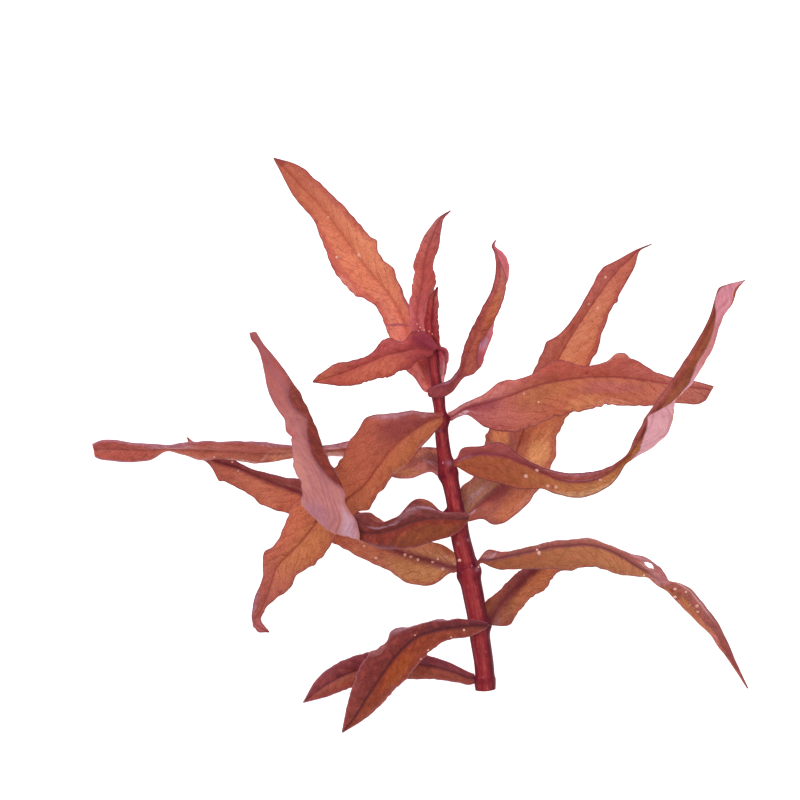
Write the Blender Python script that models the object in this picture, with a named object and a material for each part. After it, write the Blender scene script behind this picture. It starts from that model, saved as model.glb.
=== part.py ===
"""A cut stem of a red aquarium plant with its opposite leaves, lying on a surface.

The stem lies along -Y to +Y with its tip towards +Y, and the surface is at Z = 0. Every leaf is a thin
closed blade. Its shape is a short list of stations from base to tip, and each station holds the points
where the blade's left margin, midrib and right margin pass, with a ridge or fold between them where the
blade has one. Left and right are those of a walker from base to tip on the leaf's upper face. The lists
are in millimetres, and a blade is a smooth surface through its points.
"""

import math
from dataclasses import dataclass

import bmesh
import bpy
import numpy as np

MM = 0.001

BLADE_THICKNESS = 0.45
TIP_HALF_WIDTH = 0.28
RESTING_HEIGHT = 0.25
STEM_SIDES = 12
NODE_SWELLING = 0.12
NODE_REACH = 1.3

# Shape of a blade across: how far each half bulges towards the upper face, as a share of its width
HALF_BULGE = 0.06

# Colours, as linear red, green and blue
UPPER_FACE_RED = (0.42, 0.10, 0.045)
UNDERSIDE_PINK = (0.45, 0.14, 0.13)
OLD_LEAF_AMBER = (0.46, 0.17, 0.05)
SHADED_LEAF_BROWN = (0.24, 0.05, 0.025)
STEM_CRIMSON = (0.20, 0.018, 0.022)


@dataclass(frozen=True)
class Finish:
    """Colour and surface of one kind of leaf or stem."""

    name: str
    colour: tuple
    roughness: float


@dataclass(frozen=True)
class Blade:
    """One leaf: its stations, where its rails stand across it, and its margin waves."""

    name: str
    finish: Finish
    stations: tuple
    places: tuple = (-1.0, 0.0, 1.0)
    steps_along: int = 22
    steps_across: int = 4
    waves: float = 4.0
    wave_height: float = 0.35
    wave_start: float = 0.0


YOUNG_LEAF = Finish("young_leaf", UPPER_FACE_RED, 0.42)
FOLDED_LEAF = Finish("folded_leaf", UNDERSIDE_PINK, 0.45)
OLD_LEAF = Finish("old_leaf", OLD_LEAF_AMBER, 0.45)
SHADED_LEAF = Finish("shaded_leaf", SHADED_LEAF_BROWN, 0.42)
STEM_SKIN = Finish("stem_skin", STEM_CRIMSON, 0.35)

# The stem's centre line from its cut end to the growing tip: x, y, z and radius
STEM_LINE = (
    (13.3, -49.0, 1.85, 1.95),
    (12.9, -44.0, 2.75, 1.92),
    (12.4, -39.0, 3.9, 1.88),
    (11.8, -35.4, 4.7, 1.85),
    (10.5, -29.0, 6.1, 1.76),
    (9.4, -23.5, 7.4, 1.72),
    (8.4, -19.0, 8.5, 1.66),
    (7.6, -15.0, 9.4, 1.66),
    (6.8, -11.0, 10.1, 1.66),
    (6.0, -7.0, 10.7, 1.68),
    (5.4, -2.5, 11.3, 1.58),
    (4.9, 1.0, 11.7, 1.46),
    (4.3, 6.0, 12.2, 1.34),
    (3.6, 10.0, 12.6, 1.16),
    (2.9, 15.0, 13.1, 1.02),
    (2.45, 18.6, 13.4, 0.95),
    (2.15, 20.3, 13.6, 0.72),
    (2.05, 21.0, 13.7, 0.35),
)
# Where the leaf pairs stand, as y on the centre line
STEM_NODES = (-47.0, -35.4, -23.8, -14.2, -3.4, 5.8, 10.4, 18.6)

LEAF_1_FRONT = Blade(
    "leaf_1_front",
    YOUNG_LEAF,
    (
        ((0.0, 21.0, 14.3), (0.9, 21.2, 14.7), (1.7, 21.6, 14.6)),
        ((-1.8, 24.0, 15.0), (-0.4, 24.4, 15.9), (0.9, 24.2, 15.2)),
        ((-2.1, 28.6, 15.6), (-0.3, 28.6, 16.8), (1.6, 28.6, 15.9)),
        ((-1.5, 32.2, 16.0), (0.5, 32.4, 17.1), (3.1, 32.6, 16.2)),
        ((-1.2, 36.2, 16.2), (0.9, 36.2, 17.2), (2.7, 35.9, 16.6)),
        ((0.2, 40.4, 16.7), (2.0, 40.4, 17.4), (3.9, 40.3, 17.0)),
        ((2.1, 43.6, 17.3), (3.3, 43.4, 17.8), (4.3, 43.2, 17.6)),
        ((3.8, 45.7, 18.0), (4.4, 45.5, 18.2), (4.8, 45.2, 18.2)),
        (6.1, 46.8, 18.6),
    ),
    steps_along=18,
    waves=4.5,
    wave_height=0.3,
)

LEAF_1_BACK = Blade(
    "leaf_1_back",
    YOUNG_LEAF,
    (
        ((1.6, 20.0, 11.7), (2.8, 20.0, 12.2), (4.0, 20.2, 12.0)),
        ((0.9, 22.4, 12.8), (2.5, 22.4, 12.6), (3.8, 22.4, 13.2)),
        ((0.7, 25.4, 13.5), (2.3, 25.4, 13.1), (3.6, 25.4, 13.8)),
        ((1.2, 28.2, 13.9), (2.6, 28.2, 13.6), (3.9, 28.2, 14.2)),
        ((2.0, 29.8, 14.0), (2.8, 29.8, 13.9), (3.6, 29.8, 14.2)),
        (3.2, 31.0, 14.2),
    ),
    steps_along=12,
    waves=2.5,
    wave_height=0.2,
)

LEAF_2_LEFT = Blade(
    "leaf_2_left",
    YOUNG_LEAF,
    (
        ((2.3, 17.8, 15.0), (2.7, 18.8, 15.1), (3.4, 19.7, 15.2)),
        ((0.0, 17.2, 15.3), (0.9, 19.2, 15.5), (1.5, 22.2, 16.2)),
        ((-2.2, 15.2, 15.4), (-1.4, 19.2, 15.7), (-1.5, 22.7, 16.7)),
        ((-4.0, 14.8, 15.4), (-3.6, 18.6, 15.6), (-3.6, 20.7, 16.3)),
        ((-5.8, 13.7, 15.2), (-6.2, 18.2, 15.2), (-6.2, 21.3, 16.0)),
        ((-8.8, 13.2, 14.8), (-9.2, 17.0, 14.6), (-9.4, 18.7, 15.4)),
        ((-12.6, 12.0, 14.2), (-13.0, 15.4, 13.8), (-13.4, 16.9, 14.8)),
        ((-16.0, 11.8, 13.2), (-16.4, 14.1, 12.8), (-16.8, 16.4, 13.8)),
        ((-18.6, 12.1, 12.4), (-19.2, 13.3, 12.1), (-19.4, 14.5, 12.7)),
        (-21.4, 12.6, 11.6),
    ),
    wave_height=0.25,
)

LEAF_2_RIGHT = Blade(
    "leaf_2_right",
    YOUNG_LEAF,
    (
        ((3.7, 19.7, 13.9), (4.1, 19.0, 13.6), (4.0, 18.0, 13.2)),
        ((4.6, 19.6, 13.8), (4.7, 18.6, 13.6), (4.3, 16.6, 12.9)),
        ((5.4, 19.0, 12.8), (5.2, 17.6, 12.6), (4.6, 15.0, 12.0)),
        ((5.5, 18.0, 11.0), (5.1, 16.2, 10.8), (4.8, 13.2, 10.6)),
        ((5.2, 16.8, 8.8), (4.7, 14.8, 8.6), (4.9, 12.5, 8.8)),
        (4.6, 13.6, 6.6),
    ),
    steps_along=12,
    waves=2.0,
    wave_height=0.15,
)

LEAF_3_LEFT = Blade(
    "leaf_3_left",
    YOUNG_LEAF,
    (
        ((1.5, 10.5, 10.8), (2.2, 11.2, 10.7), (2.8, 12.0, 10.9)),
        ((-1.4, 14.0, 10.1), (0.0, 15.4, 10.2), (1.2, 16.6, 10.4)),
        ((-4.6, 18.0, 9.0), (-2.0, 20.0, 9.2), (0.2, 21.4, 9.8)),
        ((-6.5, 22.4, 7.6), (-3.2, 24.6, 7.9), (-1.2, 26.4, 8.9)),
        ((-8.7, 27.6, 5.5), (-5.9, 29.8, 6.2), (-3.8, 31.6, 7.3)),
        ((-14.6, 31.6, 2.9), (-10.4, 35.2, 3.9), (-7.6, 37.6, 5.0)),
        ((-18.8, 39.6, 1.2), (-15.6, 42.2, 1.8), (-12.4, 44.6, 2.7)),
        ((-22.7, 46.4, 0.35), (-20.2, 48.2, 0.55), (-17.7, 50.3, 1.1)),
        ((-25.7, 50.4, 0.25), (-23.8, 51.9, 0.2), (-21.8, 53.6, 0.4)),
        ((-28.0, 54.8, 0.2), (-27.2, 55.6, 0.2), (-25.6, 56.5, 0.25)),
        (-29.3, 57.5, 0.35),
    ),
    waves=4.0,
)

LEAF_3_RIGHT = Blade(
    "leaf_3_right",
    SHADED_LEAF,
    (
        ((1.7, 10.9, 13.9), (2.4, 10.5, 14.35), (2.3, 10.1, 14.35), (2.2, 9.7, 14.15)),
        ((4.0, 12.3, 14.75), (4.2, 11.2, 14.6), (4.3, 10.3, 14.5), (4.4, 9.5, 14.3)),
        ((6.0, 13.0, 15.0), (6.3, 12.0, 14.6), (6.5, 11.2, 14.4), (6.7, 10.4, 14.3)),
        ((7.6, 14.8, 15.6), (8.1, 14.0, 14.8), (8.5, 13.6, 14.6), (9.0, 13.2, 14.6)),
        ((8.3, 17.6, 16.0), (9.3, 17.0, 15.2), (10.5, 16.0, 14.9), (10.9, 14.8, 15.2)),
        ((9.2, 20.8, 16.4), (10.5, 20.3, 15.6), (13.2, 18.6, 15.2), (11.5, 19.0, 16.7)),
        ((10.5, 23.8, 16.8), (12.0, 23.6, 16.1), (14.4, 21.8, 15.8), (12.8, 21.8, 17.2)),
        ((12.4, 27.4, 17.2), (13.6, 27.2, 16.7), (14.8, 26.4, 16.6), (15.7, 26.4, 17.2)),
        ((14.1, 30.6, 17.5), (15.1, 30.4, 17.1), (16.1, 30.2, 17.1), (16.9, 30.0, 17.7)),
        ((14.9, 33.6, 17.7), (16.0, 33.4, 17.5), (17.6, 33.4, 18.0), (17.0, 33.6, 19.0)),
        ((15.1, 36.2, 18.0), (16.0, 36.2, 18.1), (17.1, 36.2, 18.8), (15.8, 36.4, 19.6)),
        ((14.9, 38.4, 18.6), (15.5, 38.4, 18.7), (16.2, 38.3, 19.2), (15.1, 38.6, 19.8)),
        (14.9, 40.4, 19.6),
    ),
    places=(-1.0, 0.0, 0.6, 1.0),
    steps_along=20,
    steps_across=6,
    waves=3.0,
    wave_height=0.12,
)

LEAF_4_LEFT = Blade(
    "leaf_4_left",
    OLD_LEAF,
    (
        ((5.3, 5.0, 14.0), (5.2, 5.7, 14.0), (5.3, 6.4, 13.9)),
        ((2.8, 2.4, 14.2), (2.0, 4.8, 14.4), (1.2, 6.5, 14.6)),
        ((0.0, -0.8, 13.4), (-2.0, 2.4, 13.8), (-4.8, 6.4, 14.6)),
        ((-2.6, -4.2, 11.7), (-5.6, -0.6, 12.4), (-11.0, 4.8, 13.4)),
        ((-5.4, -6.2, 9.8), (-8.4, -4.2, 10.4), (-13.6, -0.2, 11.6)),
        ((-8.6, -10.8, 7.6), (-11.2, -8.0, 8.3), (-16.2, -4.6, 9.4)),
        ((-12.6, -13.6, 5.8), (-14.0, -12.0, 6.3), (-20.0, -8.2, 7.6)),
        ((-16.3, -17.6, 4.0), (-17.8, -16.4, 4.6), (-23.4, -11.4, 5.8)),
        ((-18.8, -21.8, 3.0), (-21.2, -20.0, 3.3), (-26.5, -15.6, 4.2)),
        ((-22.2, -24.2, 2.2), (-24.4, -23.4, 2.3), (-29.2, -19.4, 3.0)),
        ((-24.9, -27.4, 1.5), (-27.4, -26.6, 1.4), (-31.3, -22.4, 1.9)),
        ((-28.0, -30.6, 1.0), (-29.8, -29.8, 0.8), (-31.9, -27.4, 1.0)),
        ((-30.8, -32.6, 0.8), (-31.8, -33.0, 0.5), (-33.4, -32.0, 0.5)),
        ((-31.9, -35.0, 0.7), (-33.3, -35.6, 0.3), (-32.8, -36.9, 0.4)),
        (-30.2, -37.5, 1.2),
    ),
    steps_along=26,
    waves=4.0,
    wave_height=0.3,
)

LEAF_4_RIGHT = Blade(
    "leaf_4_right",
    YOUNG_LEAF,
    (
        ((6.25, 6.8, 12.3), (6.3, 5.8, 12.0), (6.3, 4.6, 11.7)),
        ((8.8, 8.4, 12.8), (9.2, 7.3, 12.5), (9.2, 6.0, 12.0)),
        ((12.4, 10.0, 12.6), (13.0, 8.3, 12.3), (13.0, 3.6, 11.0)),
        ((16.2, 12.7, 12.1), (17.6, 9.8, 11.9), (18.6, 2.7, 10.1)),
        ((22.0, 14.0, 11.5), (23.0, 11.8, 11.3), (24.6, 4.6, 9.6)),
        ((27.4, 17.0, 10.9), (28.4, 13.0, 10.5), (30.0, 6.6, 9.2)),
        ((33.6, 15.8, 10.0), (34.0, 13.6, 9.7), (35.0, 7.4, 8.8)),
        ((39.9, 18.5, 9.6), (39.4, 13.6, 9.0), (39.2, 8.1, 8.2)),
        ((45.0, 16.0, 8.8), (45.0, 13.0, 8.2), (45.0, 7.8, 7.6)),
        ((50.8, 13.4, 8.2), (51.0, 12.0, 7.6), (51.4, 8.4, 7.2)),
        ((56.0, 12.6, 7.7), (56.0, 11.4, 7.2), (55.8, 8.2, 6.9)),
        ((58.8, 11.8, 7.5), (58.4, 11.0, 7.1), (57.2, 8.9, 6.9)),
    ),
    waves=4.5,
)

LEAF_5_LEFT = Blade(
    "leaf_5_left",
    YOUNG_LEAF,
    (
        ((4.7, -7.0, 8.1), (5.2, -4.6, 8.4), (4.4, -1.2, 8.9)),
        ((2.2, -5.4, 8.0), (2.4, -3.2, 8.6), (2.0, -0.4, 9.2)),
        ((-1.6, -6.6, 7.4), (-0.6, -2.6, 8.6), (-1.2, -0.6, 9.5)),
        ((-5.6, -6.4, 6.8), (-5.0, -2.0, 8.3), (-5.0, -0.4, 9.5)),
        ((-10.4, -4.2, 6.2), (-10.0, -1.6, 7.9), (-10.0, 0.6, 9.3)),
        ((-15.4, -1.9, 5.0), (-15.0, -0.8, 7.0), (-14.4, 0.8, 8.8)),
        ((-19.2, -2.2, 4.4), (-19.6, -1.0, 6.4), (-19.6, 0.0, 8.4)),
        ((-24.0, -2.4, 3.8), (-24.0, -1.2, 5.8), (-24.0, -0.4, 8.0)),
        ((-29.0, -3.3, 3.3), (-28.6, -1.6, 5.2), (-28.4, 0.1, 7.8)),
        ((-33.6, -3.5, 2.8), (-33.0, -1.5, 4.7), (-33.0, 0.6, 7.6)),
        ((-38.4, -2.9, 2.6), (-38.0, -1.2, 4.3), (-38.0, 0.8, 7.4)),
        ((-43.2, -2.8, 2.4), (-43.0, -1.0, 3.9), (-43.0, 0.8, 6.8)),
        ((-47.4, -2.0, 2.2), (-47.0, -0.8, 3.5), (-46.8, 0.5, 5.8)),
        ((-50.6, -1.2, 1.7), (-50.6, -0.6, 2.9), (-50.4, 0.0, 4.4)),
        ((-54.0, -2.6, 1.0), (-54.0, -1.0, 2.0), (-54.0, 0.2, 3.2)),
        ((-58.0, -3.4, 0.5), (-58.0, -1.0, 1.3), (-58.0, 0.5, 2.3)),
        ((-61.8, -3.2, 0.3), (-61.6, -0.9, 0.8), (-61.6, 1.1, 1.6)),
        ((-64.4, -2.8, 0.3), (-64.3, -0.9, 0.5), (-64.4, 0.8, 1.0)),
        ((-65.2, -2.4, 0.3), (-65.4, -1.0, 0.4), (-65.7, 0.2, 0.7)),
    ),
    steps_along=28,
    waves=3.0,
    wave_height=0.2,
)

LEAF_5_RIGHT = Blade(
    "leaf_5_right",
    SHADED_LEAF,
    (
        ((7.2, -2.7, 13.1), (7.1, -3.3, 12.9), (7.2, -3.8, 12.8), (7.4, -4.4, 12.6)),
        ((8.2, -0.8, 13.8), (9.2, -2.3, 13.4), (9.6, -4.0, 13.2), (9.8, -5.8, 12.8)),
        ((12.0, -0.2, 14.6), (12.6, -1.6, 13.6), (13.2, -4.2, 13.3), (13.6, -7.1, 12.6)),
        ((16.2, 0.5, 14.8), (16.4, -2.0, 13.6), (16.4, -4.8, 13.2), (16.4, -7.8, 12.4)),
        ((21.0, -2.7, 14.6), (20.4, -3.5, 13.4), (20.0, -6.0, 13.0), (19.8, -8.8, 12.4)),
        ((25.8, -4.8, 14.3), (25.4, -5.9, 13.0), (25.0, -7.2, 13.0), (24.4, -8.8, 13.2)),
        ((28.6, -5.5, 14.5), (28.4, -7.0, 13.1), (28.2, -8.6, 13.0), (28.0, -10.1, 13.6)),
        ((31.8, -5.6, 14.9), (32.0, -7.3, 13.5), (32.2, -9.0, 13.4), (32.4, -10.5, 14.1)),
        ((35.2, -5.2, 15.5), (35.6, -6.6, 14.1), (36.2, -8.0, 14.0), (36.8, -8.9, 14.7)),
        ((37.6, -4.4, 16.0), (38.2, -5.2, 14.9), (38.9, -6.0, 14.6), (39.4, -6.7, 15.1)),
        ((39.6, -3.2, 16.4), (40.1, -3.6, 15.4), (40.8, -3.8, 15.5), (40.9, -4.0, 16.6)),
        ((41.4, -1.5, 16.8), (42.3, -1.5, 16.0), (43.6, -2.0, 16.6), (43.2, -1.6, 17.7)),
        ((43.4, 1.4, 17.2), (45.0, 1.4, 16.5), (47.0, 0.2, 17.2), (44.6, 1.4, 18.6)),
        ((45.1, 4.4, 17.6), (46.8, 4.4, 17.0), (49.6, 3.2, 17.8), (45.9, 4.5, 19.2)),
        ((46.5, 7.0, 17.8), (48.2, 6.9, 17.4), (50.4, 6.5, 18.1), (48.4, 6.9, 19.3)),
        ((48.3, 9.9, 18.1), (49.8, 9.6, 17.8), (51.2, 9.1, 18.2), (51.3, 8.8, 19.2)),
        ((50.5, 12.9, 18.4), (52.2, 12.6, 18.1), (54.4, 12.4, 18.5), (53.5, 12.6, 19.7)),
        ((54.5, 19.6, 19.1), (56.0, 19.4, 18.9), (58.4, 19.0, 19.4), (57.1, 19.6, 20.4)),
        ((57.9, 26.0, 19.7), (58.9, 26.0, 19.6), (61.0, 26.0, 20.2), (58.9, 26.2, 21.1)),
        ((58.9, 29.0, 19.9), (60.2, 28.8, 19.9), (62.4, 28.6, 20.4), (59.2, 29.4, 21.3)),
        ((60.4, 31.2, 20.0), (61.6, 30.9, 20.1), (63.1, 30.7, 20.5), (60.7, 31.5, 21.2)),
        (64.8, 32.9, 20.7),
    ),
    places=(-1.0, 0.0, 0.55, 1.0),
    steps_along=30,
    steps_across=6,
    waves=3.0,
    wave_height=0.1,
)

LEAF_6_LEFT = Blade(
    "leaf_6_left",
    FOLDED_LEAF,
    (
        ((8.2, -16.4, 11.5), (8.4, -15.6, 11.7), (8.6, -14.7, 11.8), (8.8, -14.0, 11.8), (9.0, -13.4, 11.7)),
        ((6.3, -18.2, 11.9), (6.0, -16.4, 12.3), (5.6, -14.6, 12.4), (5.4, -13.8, 12.5), (5.2, -13.2, 12.3)),
        ((3.2, -19.1, 12.2), (2.6, -16.8, 12.9), (2.0, -14.6, 13.0), (1.6, -13.0, 13.5), (2.0, -11.2, 12.5)),
        ((-0.4, -20.2, 12.6), (-1.0, -17.8, 13.5), (-1.6, -15.3, 13.6), (-2.0, -13.3, 14.3), (-1.6, -10.8, 12.8)),
        ((-4.4, -20.8, 12.9), (-4.8, -18.8, 14.3), (-5.2, -16.7, 14.2), (-5.4, -15.4, 15.0), (-5.3, -14.4, 14.4)),
        ((-8.0, -20.6, 13.3), (-8.4, -19.1, 14.8), (-8.8, -17.6, 14.6), (-9.0, -16.2, 15.3), (-9.0, -15.2, 14.9)),
        ((-10.9, -19.4, 14.3), (-11.6, -18.6, 14.9), (-12.6, -17.4, 14.8), (-13.6, -15.9, 15.1), (-14.2, -14.4, 15.0)),
        ((-12.0, -18.7, 15.9), (-14.0, -18.3, 16.1), (-17.1, -17.2, 16.2), (-20.5, -15.1, 16.2), (-23.7, -11.9, 16.2)),
        ((-12.5, -15.8, 17.2), (-14.2, -15.6, 17.5), (-17.0, -14.8, 17.7), (-20.4, -12.8, 17.6), (-23.6, -10.3, 17.3)),
        ((-14.9, -11.4, 17.7), (-16.0, -11.2, 18.0), (-18.2, -10.2, 18.3), (-20.8, -9.0, 18.1), (-23.6, -8.0, 17.7)),
        ((-16.6, -7.4, 19.3), (-15.9, -7.6, 18.5), (-19.3, -6.6, 18.8), (-21.8, -5.6, 18.6), (-24.4, -5.2, 18.1)),
        ((-19.6, -3.2, 20.3), (-17.4, -4.0, 19.0), (-20.9, -3.2, 19.0), (-23.2, -2.6, 18.8), (-25.4, -2.2, 18.3)),
        ((-22.0, 0.4, 20.5), (-19.2, -0.2, 19.4), (-22.3, 0.3, 19.2), (-24.0, 0.8, 19.0), (-25.7, 1.0, 18.5)),
        ((-22.7, 4.6, 20.5), (-21.0, 4.6, 19.5), (-24.0, 4.4, 19.2), (-25.4, 4.2, 18.9), (-26.8, 3.6, 18.5)),
        ((-24.7, 7.2, 20.2), (-22.8, 7.8, 19.4), (-25.9, 7.8, 19.0), (-27.3, 7.4, 18.7), (-28.6, 7.2, 18.5)),
        ((-26.2, 10.9, 20.0), (-24.8, 11.2, 19.2), (-27.5, 11.4, 18.8), (-28.9, 10.8, 18.6), (-30.2, 10.4, 18.5)),
        ((-27.4, 14.0, 19.6), (-26.4, 14.0, 18.9), (-28.8, 14.6, 18.6), (-29.9, 14.2, 18.4), (-31.0, 13.8, 18.3)),
        ((-29.4, 17.2, 19.3), (-28.7, 17.0, 18.7), (-30.1, 17.4, 18.4), (-30.9, 17.2, 18.3), (-31.6, 17.0, 18.2)),
        ((-31.0, 19.9, 18.7), (-31.2, 19.9, 18.4), (-31.7, 19.9, 18.2), (-32.2, 19.9, 18.2), (-32.6, 19.9, 18.2)),
        ((-32.7, 22.6, 18.2), (-33.0, 22.6, 18.1), (-33.3, 22.6, 18.1), (-33.7, 22.5, 18.1), (-34.0, 22.5, 18.1)),
    ),
    places=(-1.0, -0.6, 0.0, 0.5, 1.0),
    steps_along=30,
    steps_across=8,
    waves=3.0,
    wave_height=0.0,
)

LEAF_6_RIGHT = Blade(
    "leaf_6_right",
    OLD_LEAF,
    (
        ((8.5, -11.6, 7.4), (9.3, -13.9, 8.3), (9.4, -15.3, 7.9)),
        ((8.1, -8.8, 6.6), (12.0, -12.0, 7.2), (12.6, -14.6, 7.8)),
        ((10.6, -6.6, 5.4), (15.0, -9.8, 5.8), (15.6, -15.9, 6.2)),
        ((12.2, -3.4, 4.2), (17.2, -7.2, 4.2), (20.6, -12.8, 4.4)),
        ((13.0, -0.2, 3.2), (18.4, -4.2, 2.8), (24.2, -8.4, 2.8)),
        ((13.3, 2.2, 2.4), (19.4, -1.0, 1.7), (27.0, -2.8, 1.7)),
        ((15.0, 4.8, 1.8), (20.8, 3.0, 0.9), (27.4, 2.0, 1.0)),
        ((18.4, 8.4, 1.3), (22.4, 6.8, 0.5), (29.2, 5.0, 0.8)),
        ((21.6, 13.0, 0.9), (24.6, 11.2, 0.3), (31.2, 8.8, 0.8)),
        ((24.3, 18.2, 0.8), (27.4, 16.6, 0.3), (32.9, 13.6, 0.7)),
        ((28.0, 22.2, 0.6), (29.8, 21.0, 0.3), (35.3, 18.2, 0.8)),
        ((30.9, 25.8, 0.5), (32.4, 25.0, 0.3), (36.6, 23.0, 0.9)),
        ((33.3, 29.8, 0.5), (34.8, 28.6, 0.3), (38.2, 27.0, 0.7)),
        ((35.7, 34.2, 0.6), (37.4, 32.2, 0.3), (40.0, 30.2, 0.7)),
        ((37.8, 36.0, 0.7), (39.8, 35.2, 0.4), (41.8, 33.4, 0.7)),
        ((40.8, 37.8, 0.8), (42.0, 37.2, 0.6), (43.2, 36.2, 0.9)),
        ((43.2, 39.1, 1.0), (43.6, 38.9, 0.9), (43.9, 38.6, 1.0)),
        (46.4, 40.2, 1.3),
    ),
    steps_along=26,
    waves=5.0,
)

LEAF_7_LEFT = Blade(
    "leaf_7_left",
    OLD_LEAF,
    (
        ((6.9, -25.7, 6.0), (7.1, -24.6, 6.1), (6.6, -21.3, 5.6)),
        ((5.0, -26.2, 5.3), (5.0, -24.0, 5.5), (4.8, -20.1, 5.1)),
        ((2.4, -28.0, 4.1), (2.0, -23.2, 4.7), (1.6, -19.2, 4.4)),
        ((-2.4, -27.6, 3.1), (-1.8, -22.1, 3.8), (-2.4, -17.4, 3.6)),
        ((-6.2, -25.3, 2.2), (-5.6, -20.8, 2.9), (-6.4, -15.8, 3.0)),
        ((-10.4, -23.3, 1.4), (-9.6, -19.0, 2.0), (-9.8, -13.7, 2.5)),
        ((-15.0, -20.8, 0.8), (-14.0, -16.6, 1.2), (-13.6, -13.2, 2.0)),
        ((-19.6, -17.6, 0.4), (-18.8, -13.2, 0.6), (-18.2, -9.8, 1.5)),
        ((-24.4, -14.4, 0.3), (-23.6, -9.8, 0.3), (-23.2, -7.0, 1.2)),
        ((-29.6, -12.6, 0.4), (-28.0, -8.2, 0.3), (-27.4, -6.3, 1.2)),
        ((-33.6, -10.0, 0.4), (-32.4, -6.4, 0.3), (-31.8, -5.2, 1.2)),
        ((-37.6, -8.1, 0.5), (-36.4, -4.6, 0.3), (-35.6, -3.8, 1.1)),
        ((-40.8, -7.0, 0.5), (-40.4, -3.2, 0.3), (-39.6, -1.4, 0.8)),
        ((-43.0, -3.6, 0.4), (-43.2, -1.5, 0.3), (-42.2, 0.2, 0.6)),
        (-46.2, 1.7, 0.5),
    ),
    steps_along=26,
    waves=4.0,
    wave_height=0.25,
)

LEAF_7_RIGHT = Blade(
    "leaf_7_right",
    OLD_LEAF,
    (
        ((11.4, -22.4, 8.9), (11.3, -22.9, 9.2), (11.3, -23.5, 9.2), (11.4, -24.2, 8.9)),
        ((13.8, -21.0, 9.6), (14.4, -22.3, 10.3), (14.4, -22.9, 10.1), (14.4, -24.4, 9.6)),
        ((17.2, -21.3, 10.0), (17.6, -21.6, 11.3), (17.8, -22.8, 11.3), (18.0, -24.8, 10.4)),
        ((21.2, -20.9, 10.6), (21.6, -20.7, 12.1), (21.8, -22.2, 12.1), (22.4, -24.8, 11.0)),
        ((26.0, -19.9, 11.0), (26.4, -19.6, 12.7), (26.6, -21.6, 12.8), (27.2, -24.8, 11.4)),
        ((30.4, -19.0, 11.4), (30.4, -19.5, 12.9), (30.6, -21.6, 13.0), (31.0, -25.2, 11.6)),
        ((34.0, -18.5, 11.3), (34.0, -19.7, 12.7), (34.0, -21.8, 12.8), (33.8, -24.3, 11.6)),
        ((37.6, -20.0, 10.9), (37.6, -20.5, 12.3), (37.2, -22.4, 12.3), (36.4, -24.8, 11.0)),
        ((41.2, -21.4, 10.2), (40.4, -21.7, 11.7), (40.0, -23.2, 11.6), (39.6, -25.8, 10.3)),
        ((45.0, -22.6, 9.2), (43.4, -23.6, 10.7), (42.8, -24.6, 10.7), (42.4, -26.3, 9.7)),
        ((48.2, -25.4, 8.2), (46.4, -25.6, 9.4), (45.9, -26.1, 9.4), (45.6, -26.7, 8.8)),
        ((49.8, -27.0, 7.5), (49.2, -27.2, 8.5), (48.4, -27.7, 8.5), (47.6, -28.3, 7.9)),
        ((52.4, -28.1, 6.8), (52.0, -28.5, 7.5), (51.2, -29.4, 7.4), (50.2, -30.2, 6.8)),
        ((55.2, -30.6, 5.8), (54.7, -31.0, 6.4), (53.8, -31.8, 6.2), (52.6, -32.6, 5.5)),
        ((57.8, -34.0, 4.5), (57.3, -34.4, 5.0), (56.4, -35.0, 4.8), (55.4, -35.6, 4.1)),
        ((60.0, -37.2, 3.2), (59.6, -37.4, 3.6), (59.0, -37.8, 3.4), (58.4, -38.3, 2.9)),
        ((61.7, -40.4, 2.0), (61.2, -40.5, 2.3), (60.6, -40.7, 2.2), (59.9, -40.9, 1.8)),
        ((63.3, -43.4, 1.0), (63.0, -43.5, 1.2), (62.6, -43.6, 1.1), (62.2, -43.7, 0.8)),
        ((64.7, -46.4, 0.4), (64.5, -46.4, 0.5), (64.3, -46.4, 0.5), (64.1, -46.5, 0.4)),
        (65.7, -48.8, 0.3),
    ),
    places=(-1.0, -0.55, 0.0, 1.0),
    steps_along=26,
    steps_across=6,
    waves=3.0,
    wave_height=0.1,
)

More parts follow.
